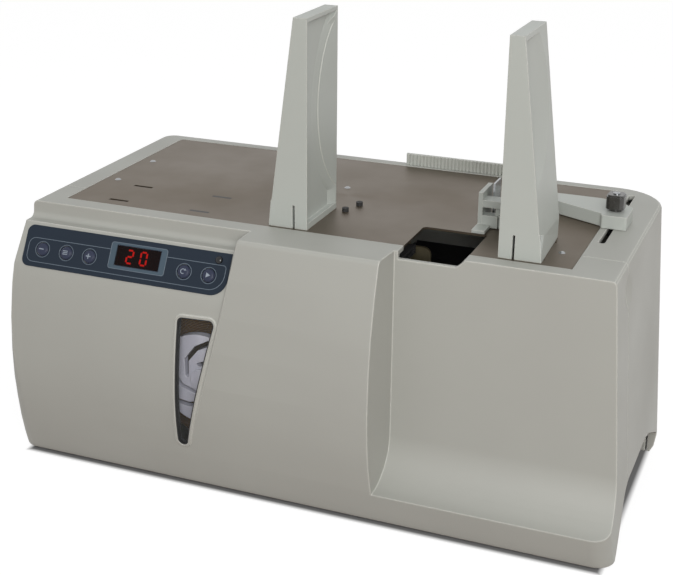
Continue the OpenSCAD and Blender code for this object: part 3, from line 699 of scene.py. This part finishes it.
class STRAPPER_OT_guides(bpy.types.Operator):
    """The two bundle guides, and the smooth skins over their inner ramps"""

    bl_idname = "strapper.guides"
    bl_label = "Bundle guides"

    def execute(self, context):
        plastic = guide_abs(context.scene.strapper_casing)
        # the guides' large faces meet at shallow angles, which stay crisp
        dress(["left_guide", "right_guide"], plastic, angle=3.5)
        for side, face_x, way in (("left", -3.0, -1), ("right", 120.0, 1)):
            self.field_ramp(f"{side}_guide_ramp", face_x, way, plastic, f"guide_{side}")
        return {"FINISHED"}

    @staticmethod
    def field_ramp(name, face_x, way, plastic, body):
        """Smooth skin over the rear of a guide's inner field: its floor comes back to the face.

        A lens stands a little proud of the ramp, behind an arc that is deepest at half height.
        """
        deck, rear, field_depth, thick, middle = 179.0, -11.5, 3.5, 1.2, 71.0
        ramp_radius, ramp_y, spare, run_least = 74.4, 31.4, 2.0, 6.5
        lens_depth, lens_half, lens_least, lens_step, lens_curve = 26.0, 56.0, 0.5, 0.45, 1.3
        lens_radius = (lens_half**2 + lens_depth**2) / (2 * lens_depth)
        lift_middle, lift_ends, proud = 0.05, 0.95, 0.03
        low, high, rows, ramp_steps, lens_steps = 4.0, 129.3, 64, 6, 12
        bm = bmesh.new()
        skins = ([], [])
        for i in range(rows + 1):
            h = low + (high - low) * i / rows
            off = h - middle
            run = max(run_least, rear - ramp_y + math.sqrt(ramp_radius**2 - off**2) + spare)
            lens = max(lens_least, lens_depth - lens_radius + math.sqrt(lens_radius**2 - off**2))
            lift = lift_middle + lift_ends * abs(off / middle) ** 4
            # pairs of distance from the rear edge and depth under the face: from the front of
            # the ramp to the lens, and over the lens to the rear edge
            line = [(run + 1.0, field_depth + 0.1)]
            for k in range(ramp_steps + 1):
                back = lens + (run - lens) * (1 - k / ramp_steps)
                line.append((back, field_depth * back / run - lift))
            crest = field_depth * lens / run - lift - lens_step
            for k in range(lens_steps + 1):
                left = 1 - k / lens_steps
                line.append((lens * left, crest * left**lens_curve))
            for skin, behind in zip(skins, (0.0, thick)):
                skin.append([
                    bm.verts.new((face_x + way * (max(proud, x) + behind), rear - proud - s, deck + h))
                    for s, x in line
                ])
        for skin in skins:
            for below, above in zip(skin, skin[1:]):
                for k in range(len(below) - 1):
                    bm.faces.new((below[k], below[k + 1], above[k + 1], above[k]))
        front, back = (
            skin[0] + [row[-1] for row in skin[1:]] + skin[-1][-2::-1] + [row[0] for row in skin[-2:0:-1]]
            for skin in skins
        )
        for k in range(len(front)):
            m = (k + 1) % len(front)
            bm.faces.new((front[k], front[m], back[m], back[k]))
        mesh = mesh_from(name, bm, IN_MM, smooth_angle=14.0)
        finish_object(name, mesh, plastic, body)


class STRAPPER_OT_deck(bpy.types.Operator):
    """Steel deck with its rivets, slot plugs, bumpers and rear fence"""

    bl_idname = "strapper.deck"
    bl_label = "Deck"

    def execute(self, context):
        settings = context.scene.strapper_casing
        dress(["deck_plate"], deck_stainless(settings), smooth=False)
        dress(["slot_plugs"], black_moulding(), smooth=False)
        dress(["deck_rivets"], bright_steel())
        dress(["deck_bumpers"], foot_rubber())
        dress(["rear_fence"], guide_abs(settings, "ABS pale fence", settings.fence_hex), smooth=False)
        return {"FINISHED"}


class STRAPPER_OT_stop_arm(bpy.types.Operator):
    """Stop arm with its knob, screw, nut, head, side stop and blade"""

    bl_idname = "strapper.stop_arm"
    bl_label = "Stop arm"

    def execute(self, context):
        steel = bright_steel()
        dress(["stop_arm", "arm_head", "side_stop"], guide_abs(context.scene.strapper_casing))
        dress(["arm_screw", "arm_nut", "stop_blade"], steel)
        dress(["arm_knob"], knob_phenolic())
        # low head of the screw, with its edge rounded off, on top of the knob
        knob_top = Vector((171.7, 28.5, 199.0))
        radius, side, flat, height = 2.3, 0.55, 1.9, 0.8
        bm = bmesh.new()
        lathe(bm, [(0.0, 0.0), (radius, 0.0), (radius, side), (flat, height), (0.0, height)], 32)
        place = Matrix.Translation(knob_top * MM) @ IN_MM
        piece("knob_screw_head", bm, place, steel, "knob")
        return {"FINISHED"}


class STRAPPER_OT_key_panel(bpy.types.Operator):
    """Key panel: film, printed lines, key domes and icons, display and lamp"""

    bl_idname = "strapper.key_panel"
    bl_label = "Key panel"

    def execute(self, context):
        settings = context.scene.strapper_panel
        key_film = key_dome_film(settings)
        dress(["panel_overlay"], panel_polycarbonate(settings), smooth=False)
        dress(["key_" + name for name in KEYS], key_film)
        dress(["display_window"], smoked_acrylic(), smooth=False)
        dress(["display_module"], black_moulding(), smooth=False)
        dress(["panel_board"], circuit_laminate(), smooth=False)
        self.print_lines(settings)
        self.print_display_frame(settings)
        icon_ink = printing_ink("Ink pale grey", settings.icon_hex, "#97A1AC")
        for name, u in KEYS.items():
            self.key(name, u, key_film, icon_ink)
        self.digits(settings)
        self.lamp()
        return {"FINISHED"}

    @staticmethod
    def print_lines(settings):
        """Thin outline round the key groups and the display, and a ring round each key."""
        z = FILM_TOP + 0.03
        ring_radius, ink_height = 5.2, 0.06
        x0, x1, foot, top, top_right = -188.0, -44.5, 3.3, 19.2, 19.6
        end_radius, foot_radius, top_radius = 4.8, 10.0, 2.0
        # from the display's frame round the left end, along the foot and round the right end
        border = (
            [(FRAME_BOX[0], top)]
            + arc(x0 + end_radius, top - end_radius, end_radius, 90, 180, 6)
            + arc(x0 + end_radius, foot + end_radius, end_radius, 180, 270, 6)
            + arc(x1 - foot_radius, foot + foot_radius, foot_radius, 270, 360, 10)
            + arc(x1 - top_radius, top_right - top_radius, top_radius, 0, 90, 5)
            + [(FRAME_BOX[2], top_right)]
        )
        outlines = [(border, False)]
        outlines += [(arc(u, KEY_V, ring_radius, 0, 350, 35), True) for u in KEYS.values()]
        outlines.append((list(dict.fromkeys(rounded_box(*FRAME_BOX, FRAME_CORNER))), True))
        bm = paths([([(*p, z) for p in points], closed) for points, closed in outlines])
        ink = printing_ink("Ink slate grey", settings.ink_hex, "#677480")
        values = {"Line width": settings.line_width, "Ink height": ink_height, "Surface": ink}
        grow("panel_print", bm, line_tree(), values, PANEL, "cover")

    @staticmethod
    def print_display_frame(settings):
        """Lighter field round the display window."""
        paint = finish("Ink slate blue", settings.frame_hex, 0.5, second="#4D5D6A", mottle=9,
                       grain=0.45, depth=0.01, Specular_IOR_Level=0.2)
        gap, corner, thick = 0.4, 0.3, 0.02
        outer = rounded_box(*FRAME_BOX, FRAME_CORNER)
        inner = rounded_box(
            DISPLAY_U[0] - gap, DISPLAY_V[0] - gap, DISPLAY_U[1] + gap, DISPLAY_V[1] + gap, corner
        )
        bm = bmesh.new()
        low_out, low_in, high_out, high_in = (
            [bm.verts.new((*p, z)) for p in outline]
            for z in (FILM_TOP, FILM_TOP + thick)
            for outline in (outer, inner)
        )
        for i in range(len(outer)):
            j = (i + 1) % len(outer)
            bm.faces.new((high_out[i], high_out[j], high_in[j], high_in[i]))
            bm.faces.new((low_out[j], low_out[i], low_in[i], low_in[j]))
            bm.faces.new((low_out[i], low_out[j], high_out[j], high_out[i]))
            bm.faces.new((low_in[j], low_in[i], high_in[i], high_in[j]))
        piece("display_frame_print", bm, PANEL, paint, "cover")

    @staticmethod
    def key(name, u, key_film, ink):
        """Embossed dome on a key, and its raised icon."""
        place = PANEL @ Matrix.Translation((u, KEY_V, KEY_TOP))
        radius, rise, root, rim = 3.9, 0.95, -0.1, 0.02
        bm = bmesh.new()
        lathe(bm, [(0.0, root), (radius, root), (radius, rim)] + dome(radius, rim, rise, 8))
        piece(f"key_{name}_dome", bm, place, key_film, name + "_key")
        half, reach, corner = 0.3, 1.7, 0.2
        shapes = {
            "minus": [rounded_box(-reach, -half, reach, half, corner, 3)],
            "mode": [rounded_box(-1.8, y - 0.25, 1.8, y + 0.25, corner, 3) for y in (-1.1, 0.0, 1.1)],
            "plus": [[
                (-half, -reach), (half, -reach), (half, -half), (reach, -half), (reach, half),
                (half, half), (half, reach), (-half, reach), (-half, half), (-reach, half),
                (-reach, -half), (-half, -half),
            ]],
            "auto": [
                arc(0, 0, 1.75, 30, 300, 18) + arc(0, 0, 1.25, 300, 30, 18),
                [(0.75, 0.45), (2.3, 0.75), (1.2, 1.9)],
            ],
            "start": [[(-1.1, -1.6), (1.8, 0.0), (-1.1, 1.6)]],
        }
        bm = bmesh.new()
        for outline in shapes[name]:
            prism(bm, outline, 0.2, rise + 0.1)
        piece(f"key_{name}_icon", bm, place, ink, name + "_key")

    @staticmethod
    def digits(settings):
        """Lit bars of the display, over the module's own bars."""
        lit = bpy.data.materials.new("LED lit red")
        lit.use_nodes = True
        tree = lit.node_tree
        glow = {"Emission Color": linear(settings.lit_hex), "Emission Strength": 22.0}
        feed(tree, tree.nodes["Principled BSDF"], {"Base Color": linear("#5A0805"), **glow})
        # bars: top, upper left, upper right, middle, lower left, lower right, foot
        bars = {
            "0": "1110111", "1": "0010010", "2": "1011101", "3": "1011011", "4": "0111010",
            "5": "1101011", "6": "1101111", "7": "1010010", "8": "1111111", "9": "1111011",
        }
        step, thick, wide, tall, inset, gap, left, right = 4.2, 0.9, 3.0, 3.1, 0.6, 1.0, -0.5, 3.8
        boxes = [
            (inset, 2 * step, wide, thick), (left, step + gap, thick, tall),
            (right, step + gap, thick, tall), (inset, step, wide, thick),
            (left, gap, thick, tall), (right, gap, thick, tall), (inset, 0.0, wide, thick),
        ]
        first, pitch = Vector((DISPLAY_U[0] + 5.8, DISPLAY_V[0] + 2.2)), 10.0
        spread, corner, back, front = 0.1, 0.4, -3.4, -3.2
        bm = bmesh.new()
        for i, digit in enumerate(f"{settings.number:2d}"):
            for state, (x, y, w, h) in zip(bars.get(digit, "0000000"), boxes):
                if state == "1":
                    u, v = first.x + i * pitch + x, first.y + y
                    bar = rounded_box(u - spread, v - spread, u + w + spread, v + h + spread, corner, 2)
                    prism(bm, bar, back, front)
        piece("display_digits", bm, PANEL, lit, "cover")

    @staticmethod
    def lamp():
        """Small lamp lens at the panel's right end."""
        lens = finish("Acrylic lamp lens", "#08090C", 0.08, second="#0D0F13", mottle=2, grain=1,
                      depth=0.001, IOR=1.49)
        stem, radius, rise = 1.2, 2.5, 1.5
        profile = [(0.0, 0.0), (stem, 0.0), (stem, FILM_TOP), (radius, FILM_TOP)]
        bm = bmesh.new()
        lathe(bm, profile + dome(radius, FILM_TOP, rise, 10), 32)
        place = PANEL @ Matrix.Translation((*LAMP, 0.0))
        piece("panel_lamp", bm, place, lens, "cover")


class STRAPPER_OT_reel(bpy.types.Operator):
    """Tape reel behind its window, and the dark lining of the window's opening, which paints shade on its
    wall
    """

    bl_idname = "strapper.reel"
    bl_label = "Tape reel"

    def execute(self, context):
        dress(["reel_window"], window_acrylic())
        dress(["reel_handwheel"], reel_styrene())
        dress(["tape_reel"], reel_painted_shade_styrene())
        dress(["tape_roll"], tape_paper())
        dress(["reel_spindle"], bright_steel())
        self.shade_lining()
        return {"FINISHED"}

    @staticmethod
    def shade_lining():
        """Dark lining of the window's opening, in foot rubber, which follows the barrel front and paints
        shade on the opening's wall.
        """
        lip, front, back, stride, steps = 0.8, -0.2, 4.2, 5.0, 32
        spots = [
            (Vector((x, z)), Vector((math.cos(a), math.sin(a))), r)
            for x, z, r in WINDOW_CIRCLES
            for a in (2 * math.pi * i / steps for i in range(steps))
        ]
        hull = geometry.convex_hull_2d([centre + way * r for centre, way, r in spots])
        corners = []
        for centre, way, r in (spots[i] for i in hull):
            corners.append((centre + way * r, centre + way * (r - lip)))
        bm = bmesh.new()
        rings = []
        for (wall_a, edge_a), (wall_b, edge_b) in zip(corners, corners[1:] + corners[:1]):
            pieces = max(1, round((wall_b - wall_a).length / stride))
            for k in range(pieces):
                wall, edge = wall_a.lerp(wall_b, k / pieces), edge_a.lerp(edge_b, k / pieces)
                rings.append([
                    bm.verts.new((x, face_y(z) + depth, z))
                    for (x, z), depth in ((wall, front), (edge, front), (edge, back), (wall, back))
                ])
        for here, there in zip(rings, rings[1:] + rings[:1]):
            for k in range(4):
                m = (k + 1) % 4
                bm.faces.new((here[k], here[m], there[m], there[k]))
        piece("window_shade_lining", bm, IN_MM, foot_rubber(), "cover")


class STRAPPER_OT_tape_feed(bpy.types.Operator):
    """Tape chute, rollers, gears and motor"""

    bl_idname = "strapper.tape_feed"
    bl_label = "Tape feed"

    def execute(self, context):
        dress(["tape_channel"], black_moulding())
        dress(["feed_roller"], foot_rubber())
        dress(["pinch_roller"], roller_rubber())
        dress(["feed_shaft", "pinch_axle"], bright_steel())
        dress(["drive_gear"], gear_acetal())
        dress(["motor_gear"], turned_brass())
        dress(["drive_motor"], motor_can())
        return {"FINISHED"}


class STRAPPER_OT_press(bpy.types.Operator):
    """Press head under the deck opening"""

    bl_idname = "strapper.press"
    bl_label = "Press head"

    def execute(self, context):
        dress(["press_plate", "press_plunger", "cutter_blade"], bright_steel())
        dress(["seal_heater"], turned_brass())
        winding = coil_tape()
        dress(["press_solenoid"], winding)
        foot_z, turns, pitch, wire_radius = 80.0, 40, 1.1, 0.5
        turn = [(*p, foot_z) for p in rounded_box(67.7, -66.3, 97.3, -35.0, 2.0, 4)]
        values = {"Turns": turns, "Pitch": pitch, "Wire radius": wire_radius, "Surface": winding}
        bm = paths([(turn, True)])
        grow("solenoid_winding", bm, winding_tree(), values, IN_MM, "housing")
        return {"FINISHED"}


class STRAPPER_OT_electrics(bpy.types.Operator):
    """Transformer, main board and its parts, inlet, switch and the slats behind the vents"""

    bl_idname = "strapper.electrics"
    bl_label = "Electrics"

    def execute(self, context):
        moulding = black_moulding()
        steel = bright_steel()
        dress(["transformer"], coil_tape(), smooth=False)
        dress(["main_board"], circuit_laminate(), smooth=False)
        dress(["board_standoffs"], turned_brass())
        dress(["mains_inlet", "switch_frame"], moulding, smooth=False)
        dress(["power_switch"], rocker_nylon(), smooth=False)
        # three flat blades in the inlet's well
        inlet, size = Vector((-150.0, 98.5, 52.0)), (2.0, 13.0, 4.0)
        bm = bmesh.new()
        for x, z in ((-7.0, -1.5), (0.0, 2.0), (7.0, -1.5)):
            place = Matrix.Translation(inlet + Vector((x, 0.0, z))) @ Matrix.Diagonal((*size, 1.0))
            bmesh.ops.create_cube(bm, size=1, matrix=place)
        piece("inlet_blades", bm, IN_MM, steel, "housing")
        self.vent_louvre(moulding)
        self.board_parts(moulding, steel)
        return {"FINISHED"}

    @staticmethod
    def vent_louvre(moulding):
        """Slats behind the rear vents, which keep paper dust and light out."""
        pitch, reach, thick, x0, x1, z0, count = 5.0, 9.0, 0.8, 15.0, 137.0, 51.0, 13
        cheek, margin, over, corner = 2.0, 1.0, 3.0, 0.8
        # outlines are drawn in Y and Z, and prisms are turned from Z to X
        turned = Matrix(((0, 0, 1, 0), (1, 0, 0, 0), (0, 1, 0, 0), (0, 0, 0, 1)))
        foot = z0 + reach
        bm = bmesh.new()
        slat = [(0.0, 0.0), (0.0, thick), (-reach, thick - reach), (-reach, -reach)]
        prism(bm, [(REAR_WALL + y, foot + z) for y, z in slat], x0, x1)
        bm.transform(turned)
        values = {"Count": count, "Step": (0, 0, pitch), "Surface": moulding}
        grow("vent_louvre", bm, row_tree(), values, IN_MM, "housing")
        bm = bmesh.new()
        side = rounded_box(
            REAR_WALL - reach - margin, z0 - margin, REAR_WALL, z0 + count * pitch + over, corner, 3
        )
        for x in (x0 - cheek, x1):
            prism(bm, side, x, x + cheek)
        piece("vent_louvre_ends", bm, IN_MM @ turned, moulding, "housing")

    @staticmethod
    def board_parts(moulding, steel):
        """Capacitors, heat sink, terminal row and driver chips on the main board."""
        # X, Z, radius and height of each can; X, Z, width, depth and height of each chip
        cans = (
            (-166, 92, 4, 14), (-156, 92, 4, 14), (-166, 104, 5, 18), (-148, 120, 3, 9), (-140, 120, 3, 9),
        )
        chips = (
            (-160, 146, 20, 6.5, 3.2), (-135, 132, 7, 15, 3.2),
            (-152, 76, 22, 7, 9.0), (-134, 88, 10, 8, 5.0),
        )
        # what stands on the board grows along -Y
        stand = Matrix(((1, 0, 0, 0), (0, 0, -1, BOARD_FRONT), (0, 1, 0, 0), (0, 0, 0, 1)))
        sleeves, tops = bmesh.new(), bmesh.new()
        for x, z, radius, height in cans:
            place = stand @ Matrix.Translation((x, z, 0))
            sleeve = [(radius - 0.4, 0), (radius, 0.5), (radius, height - 0.6), (radius - 0.6, height)]
            top = [(radius - 0.9, height - 0.1), (radius - 1.0, height + 0.1)]
            lathe(sleeves, sleeve, 24, place)
            lathe(tops, [(0, height - 0.1), *top, (0, height + 0.1)], 24, place)
        piece("board_capacitors", sleeves, IN_MM, capacitor_sleeve(), "housing")
        piece("board_capacitor_tops", tops, IN_MM, steel, "housing")
        bm = bmesh.new()
        for x, z, w, h, height in chips:
            prism(bm, rounded_box(x, z, x + w, z + h, 0.5, 3), 0.2, height)
        piece("board_chips", bm, IN_MM @ stand, moulding, "housing")
        for name, outline, height, count, pitch, start in (
            ("heat_sink", rounded_box(0, 0, 1.0, 22, 0.4, 3), 16.0, 9, 2.6, (-146, 97)),
            ("terminal_pins", rounded_box(0, 0, 0.7, 0.7, 0.2, 2), 7.0, 12, 2.54, (-156, 155)),
        ):
            bm = bmesh.new()
            prism(bm, outline, 0.1, height)
            values = {"Count": count, "Step": (pitch, 0, 0), "Surface": steel}
            place = IN_MM @ stand @ Matrix.Translation((*start, 0))
            grow(name, bm, row_tree(), values, place, "housing")


class STRAPPER_OT_base(bpy.types.Operator):
    """Base plate, feet, frame and their fasteners"""

    bl_idname = "strapper.base"
    bl_label = "Base and frame"

    def execute(self, context):
        dress(["base_plate", "frame_plate", "gear_plate"], zinc_plate(), smooth=False)
        dress(["frame_spacers", "base_screws", "hinge_pins"], bright_steel())
        dress(["rubber_feet"], foot_rubber())
        return {"FINISHED"}


class STRAPPER_OT_studio(bpy.types.Operator):
    """Pale floor, soft light and the camera"""

    bl_idname = "strapper.studio"
    bl_label = "Studio"

    def execute(self, context):
        scene = context.scene
        settings = scene.strapper_studio
        scene.view_settings.view_transform = "Standard"
        self.world(scene, settings)
        self.floor()
        self.lamp("Key lamp", settings.key, place=(0.62, -1.3, 0.8), width=0.7)
        self.lamp("Fill lamp", settings.fill, place=(1.5, -0.35, 0.75), width=1.0)
        self.camera(scene, settings)
        return {"FINISHED"}

    @staticmethod
    def seen(tree):
        """1 for rays that show the background: straight, mirrored or through glass."""
        path = add(tree, "ShaderNodeLightPath").outputs
        first = add(
            tree, "ShaderNodeMath",
            {0: path["Is Camera Ray"], 1: path["Is Glossy Ray"]}, operation="MAXIMUM",
        )
        return add(tree, "ShaderNodeMath", {0: first, 1: path["Is Transmission Ray"]}, operation="MAXIMUM")

    def world(self, scene, settings):
        """Even white light, full white only where it is seen."""
        world = bpy.data.worlds.new("Studio world")
        scene.world = world
        world.use_nodes = True
        tree = world.node_tree
        strength = add(
            tree, "ShaderNodeMapRange",
            {"Value": self.seen(tree), "To Min": settings.ambient, "To Max": 1.0},
        )
        feed(tree, tree.nodes["Background"], {"Color": (1, 1, 1, 1), "Strength": strength})

    def floor(self):
        """Pale paper under the machine, which turns white to the eye round it."""
        below, half_size = 0.0002, 6.0
        # the floor glows white to the eye, but not under the machine, where it would show
        # through the deck's opening
        half_width, half_depth, fade, glow_most = 0.2, 0.0925, 0.004, 0.85
        bm = bmesh.new()
        bmesh.ops.create_grid(bm, x_segments=1, y_segments=1, size=half_size)
        mesh = bpy.data.meshes.new("floor")
        bm.to_mesh(mesh)
        bm.free()
        floor = bpy.data.objects.new("floor", mesh)
        floor.location.z = -below
        bpy.context.scene.collection.objects.link(floor)
        paper = bpy.data.materials.new("Paper pale backdrop")
        paper.use_nodes = True
        tree = paper.node_tree
        tree.nodes.remove(tree.nodes["Principled BSDF"])
        # neutral to the eye, and a warm table top to what it lights from below
        eye = self.seen(tree)
        tone = add(
            tree, "ShaderNodeMix",
            {"Factor": eye, 6: linear("#96857A"), 7: linear("#8A8A8A")}, data_type="RGBA",
        )
        matt = add(tree, "ShaderNodeBsdfDiffuse", {"Color": tone})
        place = add(tree, "ShaderNodeTexCoord").outputs["Object"]
        reach = add(tree, "ShaderNodeVectorMath", {0: place}, operation="ABSOLUTE")
        beyond = add(
            tree, "ShaderNodeVectorMath",
            {0: reach, 1: (half_width, half_depth, 0.0)}, operation="SUBTRACT",
        )
        sides = add(tree, "ShaderNodeSeparateXYZ", {0: beyond}).outputs
        away = add(tree, "ShaderNodeMath", {0: sides["X"], 1: sides["Y"]}, operation="MAXIMUM")
        clear = add(
            tree, "ShaderNodeMapRange",
            {"Value": away, "From Min": 0.0, "From Max": fade, "To Max": glow_most},
        )
        lift = add(tree, "ShaderNodeMath", {0: eye, 1: clear}, operation="MULTIPLY")
        glow = add(tree, "ShaderNodeEmission", {"Strength": lift})
        both = add(tree, "ShaderNodeAddShader", {0: matt, 1: glow})
        feed(tree, tree.nodes["Material Output"], {"Surface": both})
        mesh.materials.append(paper)

    @staticmethod
    def lamp(name, watts, place, width):
        """A square soft box that faces the machine."""
        data = bpy.data.lights.new(name, "AREA")
        data.energy = watts
        data.size = width
        lamp = bpy.data.objects.new(name, data)
        bpy.context.scene.collection.objects.link(lamp)
        lamp.location = place
        aim = Vector((0, 0, 0.1))  # about the middle of the casing
        lamp.rotation_euler = (lamp.location - aim).to_track_quat("Z", "Y").to_euler()

    @staticmethod
    def camera(scene, settings):
        """Camera at the place and angles of the settings."""
        data = bpy.data.cameras.new("Camera")
        data.sensor_width = 36.0
        data.lens = settings.focal_px * data.sensor_width / PHOTO_WIDTH
        data.clip_start = 0.05
        data.clip_end = 50
        camera = bpy.data.objects.new("Camera", data)
        scene.collection.objects.link(camera)
        a, e, r = (math.radians(x) for x in (settings.azimuth, settings.elevation, settings.roll))
        back = Vector((math.sin(a) * math.cos(e), -math.cos(a) * math.cos(e), math.sin(e)))
        right = Vector((math.cos(a), math.sin(a), 0))
        up = back.cross(right)
        turned_right = right * math.cos(r) + up * math.sin(r)
        turned_up = up * math.cos(r) - right * math.sin(r)
        rotation = Matrix((turned_right, turned_up, back)).transposed()
        camera.matrix_world = Matrix.Translation(settings.camera_place) @ rotation.to_4x4()
        scene.camera = camera


class STRAPPER_PT_sidebar(bpy.types.Panel):
    """Lists the settings and the operators"""

    bl_idname = "STRAPPER_PT_sidebar"
    bl_label = "Strapping machine"
    bl_space_type = "VIEW_3D"
    bl_region_type = "UI"
    bl_category = "Strapper"

    def draw(self, context):
        for name in SETTINGS:
            group = getattr(context.scene, name)
            box = self.layout.box()
            for setting in group.__annotations__:
                box.prop(group, setting)
        for operator in OPERATORS:
            self.layout.operator(operator.bl_idname)


SETTINGS = {
    "strapper_casing": CasingSettings,
    "strapper_panel": PanelSettings,
    "strapper_studio": StudioSettings,
}
OPERATORS = (
    STRAPPER_OT_casing,
    STRAPPER_OT_guides,
    STRAPPER_OT_deck,
    STRAPPER_OT_stop_arm,
    STRAPPER_OT_key_panel,
    STRAPPER_OT_reel,
    STRAPPER_OT_tape_feed,
    STRAPPER_OT_press,
    STRAPPER_OT_electrics,
    STRAPPER_OT_base,
    STRAPPER_OT_studio,
)


def register():
    for cls in (*SETTINGS.values(), *OPERATORS, STRAPPER_PT_sidebar):
        bpy.utils.register_class(cls)
    for name, cls in SETTINGS.items():
        setattr(bpy.types.Scene, name, PointerProperty(type=cls))


def unregister():
    for name in SETTINGS:
        delattr(bpy.types.Scene, name)
    for cls in (STRAPPER_PT_sidebar, *reversed(OPERATORS), *reversed(list(SETTINGS.values()))):
        bpy.utils.unregister_class(cls)


def main():
    """Registers the classes and dresses the machine."""
    register()
    for operator in OPERATORS:
        group, name = operator.bl_idname.split(".")
        getattr(getattr(bpy.ops, group), name)()


if __name__ == "__main__":
    main()
